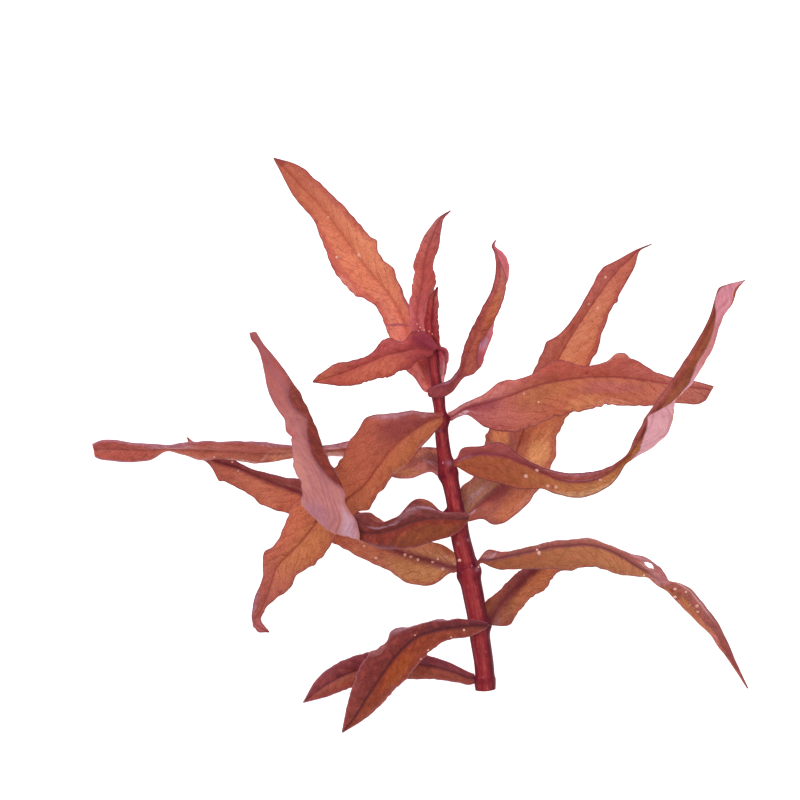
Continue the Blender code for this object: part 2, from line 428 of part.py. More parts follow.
LEAF_8_LEFT = Blade(
    "leaf_8_left",
    SHADED_LEAF,
    (
        ((12.6, -37.2, 7.1), (12.9, -35.9, 7.2), (13.0, -35.2, 7.2), (12.9, -34.6, 7.2)),
        ((10.4, -38.2, 7.3), (10.0, -36.1, 7.7), (9.6, -35.2, 7.9), (9.5, -34.7, 7.8)),
        ((6.4, -38.8, 7.6), (6.0, -36.6, 8.4), (5.6, -35.5, 8.8), (6.2, -34.3, 8.3)),
        ((4.0, -39.8, 7.6), (2.4, -37.2, 8.8), (2.0, -36.0, 9.2), (2.4, -35.1, 8.7)),
        ((1.6, -41.8, 7.2), (-0.8, -38.5, 8.8), (-1.6, -37.2, 9.2), (-1.6, -36.3, 8.9)),
        ((-0.4, -43.8, 6.6), (-3.4, -40.6, 8.2), (-4.4, -39.2, 8.6), (-5.6, -36.9, 8.1)),
        ((-2.2, -46.2, 5.6), (-5.8, -43.4, 7.2), (-6.8, -42.2, 7.5), (-8.2, -40.8, 7.1)),
        ((-5.0, -49.0, 4.3), (-8.2, -46.8, 5.7), (-9.6, -45.4, 5.9), (-11.6, -43.8, 5.5)),
        ((-7.6, -51.8, 2.7), (-10.4, -50.2, 3.9), (-11.6, -49.2, 4.1), (-13.3, -47.8, 3.8)),
        ((-10.4, -54.4, 1.2), (-12.4, -53.4, 2.0), (-13.3, -52.8, 2.2), (-14.6, -52.0, 2.0)),
        ((-13.0, -56.2, 0.4), (-14.0, -55.7, 0.8), (-14.6, -55.4, 0.9), (-15.2, -55.0, 0.9)),
        (-15.6, -57.6, 0.4),
    ),
    places=(-1.0, 0.0, 0.55, 1.0),
    steps_along=20,
    steps_across=6,
    waves=3.0,
    wave_height=0.12,
)

LEAF_8_RIGHT = Blade(
    "leaf_8_right",
    OLD_LEAF,
    (
        ((13.4, -31.8, 3.1), (14.0, -34.8, 3.4), (14.0, -36.0, 3.3)),
        ((14.6, -30.2, 2.7), (16.0, -32.2, 2.9), (17.4, -36.1, 2.6)),
        ((17.0, -28.2, 2.3), (18.4, -29.4, 2.1), (20.2, -32.9, 1.8)),
        ((19.2, -25.8, 1.9), (20.8, -26.9, 1.5), (22.4, -30.5, 1.1)),
        ((21.4, -24.2, 1.5), (23.2, -24.9, 0.9), (25.6, -28.6, 0.8)),
        ((24.6, -22.4, 1.1), (26.2, -23.4, 0.5), (27.4, -25.7, 0.6)),
        ((28.6, -21.2, 0.8), (29.6, -22.4, 0.3), (30.4, -24.0, 0.5)),
        ((32.6, -20.8, 0.6), (33.0, -21.6, 0.3), (33.4, -22.8, 0.4)),
        (36.0, -21.2, 0.4),
    ),
    steps_along=16,
    waves=3.0,
    wave_height=0.2,
)

LEAF_9_LEFT = Blade(
    "leaf_9_left",
    SHADED_LEAF,
    (
        ((10.3, -48.0, 1.5), (10.4, -46.8, 1.6), (10.2, -45.6, 1.8)),
        ((7.6, -47.6, 1.2), (7.0, -45.6, 1.7), (6.0, -43.6, 2.3)),
        ((3.4, -47.0, 1.1), (3.0, -44.4, 1.8), (2.0, -42.3, 2.5)),
        ((-1.6, -47.0, 0.7), (-1.6, -43.8, 1.5), (-2.0, -41.0, 2.4)),
        ((-6.6, -47.2, 0.4), (-6.4, -44.0, 1.1), (-6.8, -40.9, 2.0)),
        ((-10.8, -47.8, 0.3), (-11.2, -44.8, 0.7), (-11.8, -41.8, 1.6)),
        ((-14.8, -49.0, 0.3), (-15.8, -46.4, 0.4), (-16.6, -43.7, 1.1)),
        ((-18.4, -50.4, 0.3), (-19.6, -48.6, 0.3), (-20.6, -46.8, 0.7)),
        (-23.4, -51.6, 0.4),
    ),
    steps_along=16,
    waves=3.0,
    wave_height=0.2,
)

LEAVES = (
    LEAF_1_FRONT,
    LEAF_1_BACK,
    LEAF_2_LEFT,
    LEAF_2_RIGHT,
    LEAF_3_LEFT,
    LEAF_3_RIGHT,
    LEAF_4_LEFT,
    LEAF_4_RIGHT,
    LEAF_5_LEFT,
    LEAF_5_RIGHT,
    LEAF_6_LEFT,
    LEAF_6_RIGHT,
    LEAF_7_LEFT,
    LEAF_7_RIGHT,
    LEAF_8_LEFT,
    LEAF_8_RIGHT,
    LEAF_9_LEFT,
)


def smooth_through(knots, points, places):
    """Points of a smooth curve through points, which stand at knots, read at places."""
    knots = np.asarray(knots, float)
    points = np.asarray(points, float)
    slopes = np.gradient(points, knots, axis=0)
    spans = np.clip(np.searchsorted(knots, places, side="right") - 1, 0, len(knots) - 2)
    width = knots[spans + 1] - knots[spans]
    t = (places - knots[spans]) / width
    shape = (-1,) + (1,) * (points.ndim - 1)
    t = t.reshape(shape)
    width = width.reshape(shape)
    start, end = points[spans], points[spans + 1]
    start_slope, end_slope = slopes[spans] * width, slopes[spans + 1] * width
    return (
        start * (2 * t**3 - 3 * t**2 + 1)
        + start_slope * (t**3 - 2 * t**2 + t)
        + end * (3 * t**2 - 2 * t**3)
        + end_slope * (t**3 - t**2)
    )


def whole_stations(stations):
    """The stations with a pointed tip, given as one point, spread to a short blunt edge."""
    if not isinstance(stations[-1][0], tuple):
        last, tip = np.array(stations[-2]), np.array(stations[-1])
        across = last[-1] - last[0]
        across = across / np.linalg.norm(across)
        spread = np.linspace(-TIP_HALF_WIDTH, TIP_HALF_WIDTH, len(last))
        return np.array([*stations[:-1], tip + spread[:, None] * across])
    return np.array(stations)


def blade_grid(blade):
    """The blade's middle surface as a grid of points, along by across, and its unit normals."""
    stations = whole_stations(blade.stations)
    middle = stations.mean(axis=1)
    walked = np.concatenate([[0.0], np.cumsum(np.linalg.norm(np.diff(middle, axis=0), axis=1))])
    along = np.linspace(0.0, walked[-1], blade.steps_along + 1)
    rails = smooth_through(walked, stations, along)
    across = np.linspace(0.0, 1.0, blade.steps_across + 1)
    rail_steps = np.linspace(0.0, 1.0, len(blade.places))
    grid = smooth_through(rail_steps, rails.swapaxes(0, 1), across).swapaxes(0, 1)
    normals = grid_normals(grid)
    side = np.interp(across, rail_steps, blade.places)
    share = along / walked[-1]
    bulge = blade_bulge(blade, grid, side, share)
    return grid + normals * bulge[..., None], normals


def blade_bulge(blade, grid, side, share):
    """How far each point stands off the rails: the halves' bulge and the margins' waves."""
    width = np.linalg.norm(grid[:, -1] - grid[:, 0], axis=1)
    halves = HALF_BULGE * width[:, None] * np.sin(math.pi * np.abs(side))[None, :]
    phase = 2 * math.pi * (blade.waves * share[:, None] + blade.wave_start + 0.25 * np.sign(side)[None, :])
    fade = np.sin(math.pi * np.clip(share, 0.0, 1.0)) ** 0.7
    waves = blade.wave_height * np.sin(phase) * np.abs(side)[None, :] ** 2 * fade[:, None]
    return halves + waves


def grid_normals(grid):
    """Unit normals on the upper face of a grid of points."""
    forward = np.gradient(grid, axis=0)
    rightward = np.gradient(grid, axis=1)
    normals = np.cross(rightward, forward)
    return normals / np.linalg.norm(normals, axis=2, keepdims=True)


def blade_shell(grid, normals):
    """Upper and lower points of a blade, with what is nearly on the surface laid flat on it."""
    upper = grid + normals * BLADE_THICKNESS / 2
    lower = grid - normals * BLADE_THICKNESS / 2
    lowest = np.minimum(upper[..., 2], lower[..., 2])
    drop = np.where(lowest < RESTING_HEIGHT, lowest, 0.0)
    upper[..., 2] -= drop
    lower[..., 2] -= drop
    return upper, lower


def shell_mesh(name, upper, lower):
    """A closed mesh from two grids of points, joined round their edge."""
    rows, columns = upper.shape[:2]
    mesh = bpy.data.meshes.new(name)
    shape = bmesh.new()
    top = [[shape.verts.new(point * MM) for point in row] for row in upper]
    bottom = [[shape.verts.new(point * MM) for point in row] for row in lower]
    for i in range(rows - 1):
        for j in range(columns - 1):
            shape.faces.new((top[i][j], top[i + 1][j], top[i + 1][j + 1], top[i][j + 1]))
            shape.faces.new((bottom[i][j], bottom[i][j + 1], bottom[i + 1][j + 1], bottom[i + 1][j]))
    edge = [(i, 0) for i in range(rows)]
    edge += [(rows - 1, j) for j in range(1, columns)]
    edge += [(i, columns - 1) for i in range(rows - 2, -1, -1)]
    edge += [(0, j) for j in range(columns - 2, 0, -1)]
    for (i, j), (k, m) in zip(edge, edge[1:] + edge[:1]):
        shape.faces.new((top[i][j], bottom[i][j], bottom[k][m], top[k][m]))
    bmesh.ops.triangulate(shape, faces=shape.faces[:])
    bmesh.ops.recalc_face_normals(shape, faces=shape.faces[:])
    shape.to_mesh(mesh)
    shape.free()
    return mesh


def stem_rings():
    """Points of the stem's rings from the cut end to the tip, swollen a little at each leaf pair."""
    line = np.array(STEM_LINE)
    places = np.concatenate([np.linspace(0.0, len(line) - 3.0, 28), [len(line) - 2.0, len(line) - 1.0]])
    line = smooth_through(np.arange(len(line)), line, places)
    centres, radii = line[:, :3], line[:, 3].copy()
    for place in STEM_NODES:
        radii += NODE_SWELLING * np.exp(-(((centres[:, 1] - place) / NODE_REACH) ** 2))
    forward = np.gradient(centres, axis=0)
    forward /= np.linalg.norm(forward, axis=1, keepdims=True)
    sideways = np.cross(forward, (0.0, 0.0, 1.0))
    sideways /= np.linalg.norm(sideways, axis=1, keepdims=True)
    upward = np.cross(sideways, forward)
    angles = 2 * math.pi * (np.arange(STEM_SIDES) + 0.5) / STEM_SIDES
    rings = (
        centres[:, None]
        + radii[:, None, None] * np.cos(angles)[None, :, None] * sideways[:, None]
        + radii[:, None, None] * np.sin(angles)[None, :, None] * upward[:, None]
    )
    rings[..., 2] = np.maximum(rings[..., 2], 0.0)
    return rings


def stem_mesh(name):
    """The stem as a closed tube with a plain cut at its lower end."""
    rings = stem_rings()
    mesh = bpy.data.meshes.new(name)
    shape = bmesh.new()
    circles = [[shape.verts.new(point * MM) for point in ring] for ring in rings]
    for ring, after in zip(circles, circles[1:]):
        for j in range(STEM_SIDES):
            k = (j + 1) % STEM_SIDES
            shape.faces.new((ring[j], ring[k], after[k], after[j]))
    shape.faces.new(circles[0])
    shape.faces.new(circles[-1])
    bmesh.ops.triangulate(shape, faces=shape.faces[:])
    bmesh.ops.recalc_face_normals(shape, faces=shape.faces[:])
    shape.to_mesh(mesh)
    shape.free()
    return mesh


def finish_material(finish):
    """A plain material of one finish."""
    material = bpy.data.materials.new(finish.name)
    material.use_nodes = True
    surface = material.node_tree.nodes["Principled BSDF"]
    surface.inputs["Base Color"].default_value = (*finish.colour, 1.0)
    surface.inputs["Roughness"].default_value = finish.roughness
    surface.inputs["Metallic"].default_value = 0.0
    return material


def add_piece(name, mesh, finish):
    """One named object with its own material."""
    mesh.materials.append(finish_material(finish))
    mesh.shade_smooth()
    mesh.set_sharp_from_angle(angle=math.radians(50))
    piece = bpy.data.objects.new(name, mesh)
    bpy.context.scene.collection.objects.link(piece)
    return piece


def main():
    """Builds the stem and its leaves."""
    for old in list(bpy.data.objects):
        bpy.data.objects.remove(old, do_unlink=True)
    add_piece("stem", stem_mesh("stem"), STEM_SKIN)
    for blade in LEAVES:
        add_piece(blade.name, shell_mesh(blade.name, *blade_shell(*blade_grid(blade))), blade.finish)


main()
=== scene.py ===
"""The looks of a cut stem of a red aquarium plant that lies on a pale surface, seen from above.

Lengths are millimetres unless a name says otherwise, +Y runs towards the growing tip and +Z is up. A blade
is given by stations from its base to its tip. Each station is a row of x, y and z of the points where the
blade's left margin, midrib and right margin pass, with a ridge or fold between them where the blade has one.
A pointed tip is one point. Left and right are those of a walker from base to tip on the leaf's upper face.
"""

import logging
import math
from dataclasses import dataclass
from enum import Enum

import bpy
import numpy as np
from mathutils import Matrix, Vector
from mathutils.bvhtree import BVHTree

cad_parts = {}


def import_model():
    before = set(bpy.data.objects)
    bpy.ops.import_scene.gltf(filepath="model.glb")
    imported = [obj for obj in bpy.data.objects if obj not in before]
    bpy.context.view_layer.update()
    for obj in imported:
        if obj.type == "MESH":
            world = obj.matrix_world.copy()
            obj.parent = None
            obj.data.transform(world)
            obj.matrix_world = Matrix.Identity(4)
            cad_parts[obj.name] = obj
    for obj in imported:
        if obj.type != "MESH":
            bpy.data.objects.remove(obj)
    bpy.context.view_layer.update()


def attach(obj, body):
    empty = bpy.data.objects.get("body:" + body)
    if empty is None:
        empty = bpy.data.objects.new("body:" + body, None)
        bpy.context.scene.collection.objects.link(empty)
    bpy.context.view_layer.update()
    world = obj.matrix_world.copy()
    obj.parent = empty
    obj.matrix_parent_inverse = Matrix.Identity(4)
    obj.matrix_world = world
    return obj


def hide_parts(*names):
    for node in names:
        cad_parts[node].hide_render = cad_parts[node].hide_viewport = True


Colour = tuple[int, int, int]
Point = tuple[float, float, float]
Station = tuple[float, ...]

log = logging.getLogger("plant")

MM = 0.001
# Vectors are divided by no less than this
SHORTEST = 1e-9
BODY = "root"

# The photograph's frame: its width in pixels, the scale, and the point of the plant at its middle
PHOTO_WIDTH = 800
MM_PER_PIXEL = 0.2
PHOTO_MIDDLE = (-4.0, 9.0)
SCALE_HEIGHT = 9.0


class Face(Enum):
    """Which side of a blade a mark is on."""

    UPPER = "upper"
    UNDER = "under"


@dataclass(frozen=True)
class Lobe:
    """A bump on a margin, or a notch where out is negative.

    Its place and reach are shares along the blade, and out is in millimetres.
    """

    along: float
    reach: float
    out: float


@dataclass(frozen=True)
class Patch:
    """A soft-edged patch of another colour on a blade: a bruise or other colour of its own tissue,
    or painted light: a painted highlight, sheen, glow of light through the leaf, or painted shade.

    Its place and reach are shares: along from 0 at the base to 1 at the tip, across from -1 to 1. With a
    slant it lies further along towards the right margin.
    """

    colour: Colour
    along: float
    across: float
    reach: tuple[float, float]
    strength: float = 0.8
    face: Face = Face.UPPER
    slant: float = 0.0


@dataclass(frozen=True)
class Tones:
    """Colours of one half of a blade at its base, middle and tip."""

    base: Colour
    middle: Colour
    tip: Colour


@dataclass(frozen=True)
class BladeFinish:
    """Colours and surface of one leaf."""

    left: Tones
    right: Tones
    under: Tones
    midrib: Colour
    vein: Colour
    # On most leaves the rim colour is a dark edge line; where it is lilac it is painted sheen along the
    # margin
    rim: Colour = (108, 56, 68)
    blush: Colour = (182, 70, 62)
    blush_strength: float = 0.35
    margin: Colour = (164, 62, 68)
    margin_strength: float = 0.3
    midrib_width: float = 0.9
    midrib_strength: float = 0.45
    midrib_end: float = 1.2
    line_strength: float = 0.55
    vein_strength: float = 0.55
    net_strength: float = 0.36
    rim_width: float = 0.3
    rim_strength: float = 0.6
    rim_start: float = 0.04
    under_vein: Colour = (150, 75, 80)
    patches: tuple[Patch, ...] = ()
    roughness: float = 0.52


@dataclass(frozen=True)
class StemFinish:
    """Colours and surface of the stem's skin."""

    skin: Colour = (142, 36, 45)
    # The streak colour also paints a highlight down the stem's middle, and the shade colour painted shade on
    # its sides
    streak: Colour = (182, 80, 78)
    shade: Colour = (88, 14, 32)
    node: Colour = (106, 20, 38)
    bloom: Colour = (206, 138, 156)
    roughness: float = 0.5


@dataclass(frozen=True)
class Mark:
    """A soft dark or pale spot on the stem's skin: its middle, and its reach along x, y and z."""

    centre: Point
    reach: Point
    pale: bool = False


@dataclass(frozen=True)
class BeadFinish:
    """Colour and surface of the gas beads, with brighter spots of painted highlight counted to a metre."""

    body: Colour = (208, 146, 132)
    # The colour of the painted highlight spots
    glint: Colour = (238, 184, 168)
    spots: float = 900.0
    roughness: float = 0.6


@dataclass(frozen=True)
class FloorFinish:
    """Colour and glow of the pale surface below the plant, with clouds counted to a metre."""

    tone: Colour = (240, 240, 240)
    cloud: Colour = (250, 250, 250)
    clouds: float = 14.0
    glow: float = 0.95
    roughness: float = 0.9


@dataclass(frozen=True)
class Lamp:
    """A square soft light: where it hangs and how wide it is, in metres, and its power in watts."""

    name: str
    place: Point
    width: float
    power: float


def linear(colour: Colour) -> tuple[float, float, float, float]:
    """A colour given as 0 to 255 on screen, as the linear light that a shader takes.

    Args:
        colour: red, green and blue as a screen shows them.

    Returns:
        Red, green, blue and a full alpha, from 0 to 1.
    """
    # The curve of a standard screen
    parts = [c / 255 for c in colour]
    light = [p / 12.92 if p <= 0.04045 else ((p + 0.055) / 1.055) ** 2.4 for p in parts]
    return (*light, 1.0)


class Wire:
    """A value on its way through a tree of nodes, with the usual operators."""

    def __init__(self, kit: "NodeKit", socket: bpy.types.NodeSocket) -> None:
        """Keeps the tree's kit and the socket that gives the value."""
        self.kit = kit
        self.socket = socket

    def math(self, operation: str, *values: "Wire | float") -> "Wire":
        """The result of a Math node on these values.

        Args:
            operation: the Math node's operation.
            values: what goes into its sockets, in order.

        Returns:
            The node's result.
        """
        return self.kit.node("ShaderNodeMath", {"operation": operation}, dict(enumerate(values)))

    def __add__(self, other: "Wire | float") -> "Wire":
        """Sum."""
        return self.math("ADD", self, other)

    def __sub__(self, other: "Wire | float") -> "Wire":
        """Difference."""
        return self.math("SUBTRACT", self, other)

    def __rsub__(self, other: float) -> "Wire":
        """Difference from a number."""
        return self.math("SUBTRACT", other, self)

    def __mul__(self, other: "Wire | float") -> "Wire":
        """Product."""
        return self.math("MULTIPLY", self, other)

    def __truediv__(self, other: "Wire | float") -> "Wire":
        """Quotient."""
        return self.math("DIVIDE", self, other)

    def __pow__(self, other: float) -> "Wire":
        """Power."""
        return self.math("POWER", self, other)

    __radd__ = __add__
    __rmul__ = __mul__

    def size(self) -> "Wire":
        """The value without its sign."""
        return self.math("ABSOLUTE", self)

    def fraction(self) -> "Wire":
        """What is past the whole number below."""
        return self.math("FRACT", self)

    def most(self, other: "Wire | float") -> "Wire":
        """The greater of two values."""
        return self.math("MAXIMUM", self, other)

    def step(self, low: float, high: float) -> "Wire":
        """A soft step from 0 at low to 1 at high, or the other way round where low is above high.

        Args:
            low: where the result is 0.
            high: where the result is 1.

        Returns:
            The step's height, from 0 to 1.
        """
        settings = {"interpolation_type": "SMOOTHSTEP"}
        return self.kit.node("ShaderNodeMapRange", settings, {0: self, 1: low, 2: high})


class NodeKit:
    """Adds nodes to one tree."""

    def __init__(self, tree: bpy.types.NodeTree) -> None:
        """Keeps the tree."""
        self.tree = tree

    def node(
        self, kind: str, settings: dict | None = None, values: dict | None = None, output: int = 0
    ) -> Wire:
        """Adds one node.

        Args:
            kind: the node's type.
            settings: its own settings by name, which are set first.
            values: the values or wires of its sockets, by index or name.
            output: index of the socket that is returned.

        Returns:
            The wire from that socket.
        """
        made = self.tree.nodes.new(kind)
        for name, value in (settings or {}).items():
            setattr(made, name, value)
        for socket, value in (values or {}).items():
            if isinstance(value, Wire):
                self.tree.links.new(value.socket, made.inputs[socket])
            else:
                made.inputs[socket].default_value = value
        return Wire(self, made.outputs[output])

    def split(self, vector: Wire) -> tuple[Wire, Wire, Wire]:
        """The three parts of a vector.

        Args:
            vector: the vector.

        Returns:
            Its x, y and z.
        """
        made = self.node("ShaderNodeSeparateXYZ", {}, {0: vector}).socket.node
        return tuple(Wire(self, socket) for socket in made.outputs)

    def join(self, x: Wire | float, y: Wire | float, z: Wire | float) -> Wire:
        """A vector of three parts."""
        return self.node("ShaderNodeCombineXYZ", {}, {0: x, 1: y, 2: z})


class Paint(NodeKit):
    """Builds one material from wires."""

    # Sockets of the mix node, then outputs of the attribute node and of the coordinate node
    FACTOR, FIRST, SECOND, MIXED = 0, 6, 7, 2
    VECTOR, NUMBER = 1, 2
    OBJECT_PLACE = 3
    # How much red, green and blue follow a change of tone
    TONE_SHARES = (0.75, 1.25, 1.15)

    def __init__(self, name: str) -> None:
        """Starts a new material with its one shader.

        Args:
            name: the material's name.
        """
        self.material = bpy.data.materials.new(name)
        self.material.use_nodes = True
        super().__init__(self.material.node_tree)
        self.shader = self.tree.nodes["Principled BSDF"]

    def attribute(self, name: str, output: int = VECTOR) -> Wire:
        """A value that the piece's own mesh carries.

        Args:
            name: the attribute's name.
            output: VECTOR or NUMBER, whichever it is.

        Returns:
            The wire from it.
        """
        return self.node("ShaderNodeAttribute", {"attribute_name": name}, {}, output)

    def object_place(self) -> Wire:
        """Where a point is on its piece, in metres."""
        return self.node("ShaderNodeTexCoord", {}, {}, self.OBJECT_PLACE)

    def noise(self, vector: Wire, scale: float, detail: float = 3.0, distortion: float = 0.0) -> Wire:
        """Soft noise from 0 to 1.

        Args:
            vector: where it is read.
            scale: how many spots there are to a unit.
            detail: how many finer layers it has.
            distortion: how far it swirls.

        Returns:
            The noise.
        """
        values = {"Vector": vector, "Scale": scale, "Detail": detail, "Distortion": distortion}
        return self.node("ShaderNodeTexNoise", {}, values)

    def cells(self, vector: Wire, scale: float) -> Wire:
        """How far a point is from the walls between cells.

        Args:
            vector: where it is read.
            scale: how many cells there are to a unit.

        Returns:
            The distance, 0 on a wall.
        """
        settings = {"feature": "DISTANCE_TO_EDGE"}
        return self.node("ShaderNodeTexVoronoi", settings, {"Vector": vector, "Scale": scale})

    def mix(self, first: Wire | Colour, second: Wire | Colour, share: Wire | float) -> Wire:
        """One colour turned into another.

        Args:
            first: the colour at share 0.
            second: the colour at share 1.
            share: how far it is turned.

        Returns:
            The colour between them.
        """
        ends = [c if isinstance(c, Wire) else linear(c) for c in (first, second)]
        values = {self.FACTOR: share, self.FIRST: ends[0], self.SECOND: ends[1]}
        return self.node("ShaderNodeMix", {"data_type": "RGBA"}, values, self.MIXED)

    def lighten(self, colour: Wire, amount: Wire | float) -> Wire:
        """A colour made brighter or darker by a factor."""
        return self.node("ShaderNodeVectorMath", {"operation": "SCALE"}, {0: colour, 3: amount})

    def vary(self, colour: Wire, change: Wire) -> Wire:
        """A colour made lighter or darker as leaf tissue is, where red changes least.

        Args:
            colour: the colour.
            change: how much lighter, or darker where it is below 0.

        Returns:
            The changed colour.
        """
        factors = self.join(*(change * share + 1.0 for share in self.TONE_SHARES))
        return self.node("ShaderNodeVectorMath", {"operation": "MULTIPLY"}, {0: colour, 1: factors})

    def bump(self, height: Wire, strength: float, distance_mm: float) -> Wire:
        """A normal that follows small heights.

        Args:
            height: the heights, from 0 to 1.
            strength: how much they show.
            distance_mm: how high 1 is.

        Returns:
            The normal.
        """
        values = {"Strength": strength, "Distance": distance_mm * MM, "Height": height}
        return self.node("ShaderNodeBump", {}, values)

    def set(self, **sockets: Wire | float | tuple) -> bpy.types.Material:
        """Fills the shader's sockets.

        Args:
            sockets: values or wires by socket name, with an underscore for each space.

        Returns:
            The finished material.
        """
        for name, value in sockets.items():
            socket = self.shader.inputs[name.replace("_", " ")]
            if isinstance(value, Wire):
                self.tree.links.new(value.socket, socket)
            else:
                socket.default_value = value
        return self.material


def smooth_through(knots: np.ndarray, points: np.ndarray, places: np.ndarray) -> np.ndarray:
    """Points of a smooth curve.

    Args:
        knots: where along the curve each given point stands.
        points: the given points, first axis along the curve.
        places: where the curve is read.

    Returns:
        The points at places.
    """
    slopes = np.gradient(points, knots, axis=0)
    spans = np.clip(np.searchsorted(knots, places, side="right") - 1, 0, len(knots) - 2)
    shape = (-1,) + (1,) * (points.ndim - 1)
    width = (knots[spans + 1] - knots[spans]).reshape(shape)
    t = (places - knots[spans]).reshape(shape) / width
    start, end = points[spans], points[spans + 1]
    start_slope, end_slope = slopes[spans] * width, slopes[spans + 1] * width
    return (
        start * (2 * t**3 - 3 * t**2 + 1)
        + start_slope * (t**3 - 2 * t**2 + t)
        + end * (3 * t**2 - 2 * t**3)
        + end_slope * (t**3 - t**2)
    )


def unit(vectors: np.ndarray) -> np.ndarray:
    """Vectors brought to length 1."""
    return vectors / np.maximum(np.linalg.norm(vectors, axis=-1, keepdims=True), SHORTEST)


def write_values(mesh: bpy.types.Mesh, name: str, values: np.ndarray) -> None:
    """Writes a number or a vector to each point of a mesh.

    Args:
        mesh: the mesh, which is changed.
        name: the name that materials and trees read the values by.
        values: a number, or a row of three, for each point.
    """
    kind, field = ("FLOAT", "value") if values.ndim == 1 else ("FLOAT_VECTOR", "vector")
    mesh.attributes.new(name, kind, "POINT").data.foreach_set(field, values.ravel())


def finish_piece(name: str, mesh: bpy.types.Mesh, material: bpy.types.Material) -> bpy.types.Object:
    """Puts a mesh with one material into the scene.

    Args:
        name: the piece's name.
        mesh: its mesh, in metres and in place.
        material: what it wears.

    Returns:
        The piece's object, at the origin.
    """
    mesh.materials.clear()
    mesh.materials.append(material)
    mesh.polygons.foreach_set("material_index", np.zeros(len(mesh.polygons), np.int32))
    mesh.name = name
    mesh.shade_smooth()
    piece = bpy.data.objects.new(name, mesh)
    bpy.context.scene.collection.objects.link(piece)
    return piece


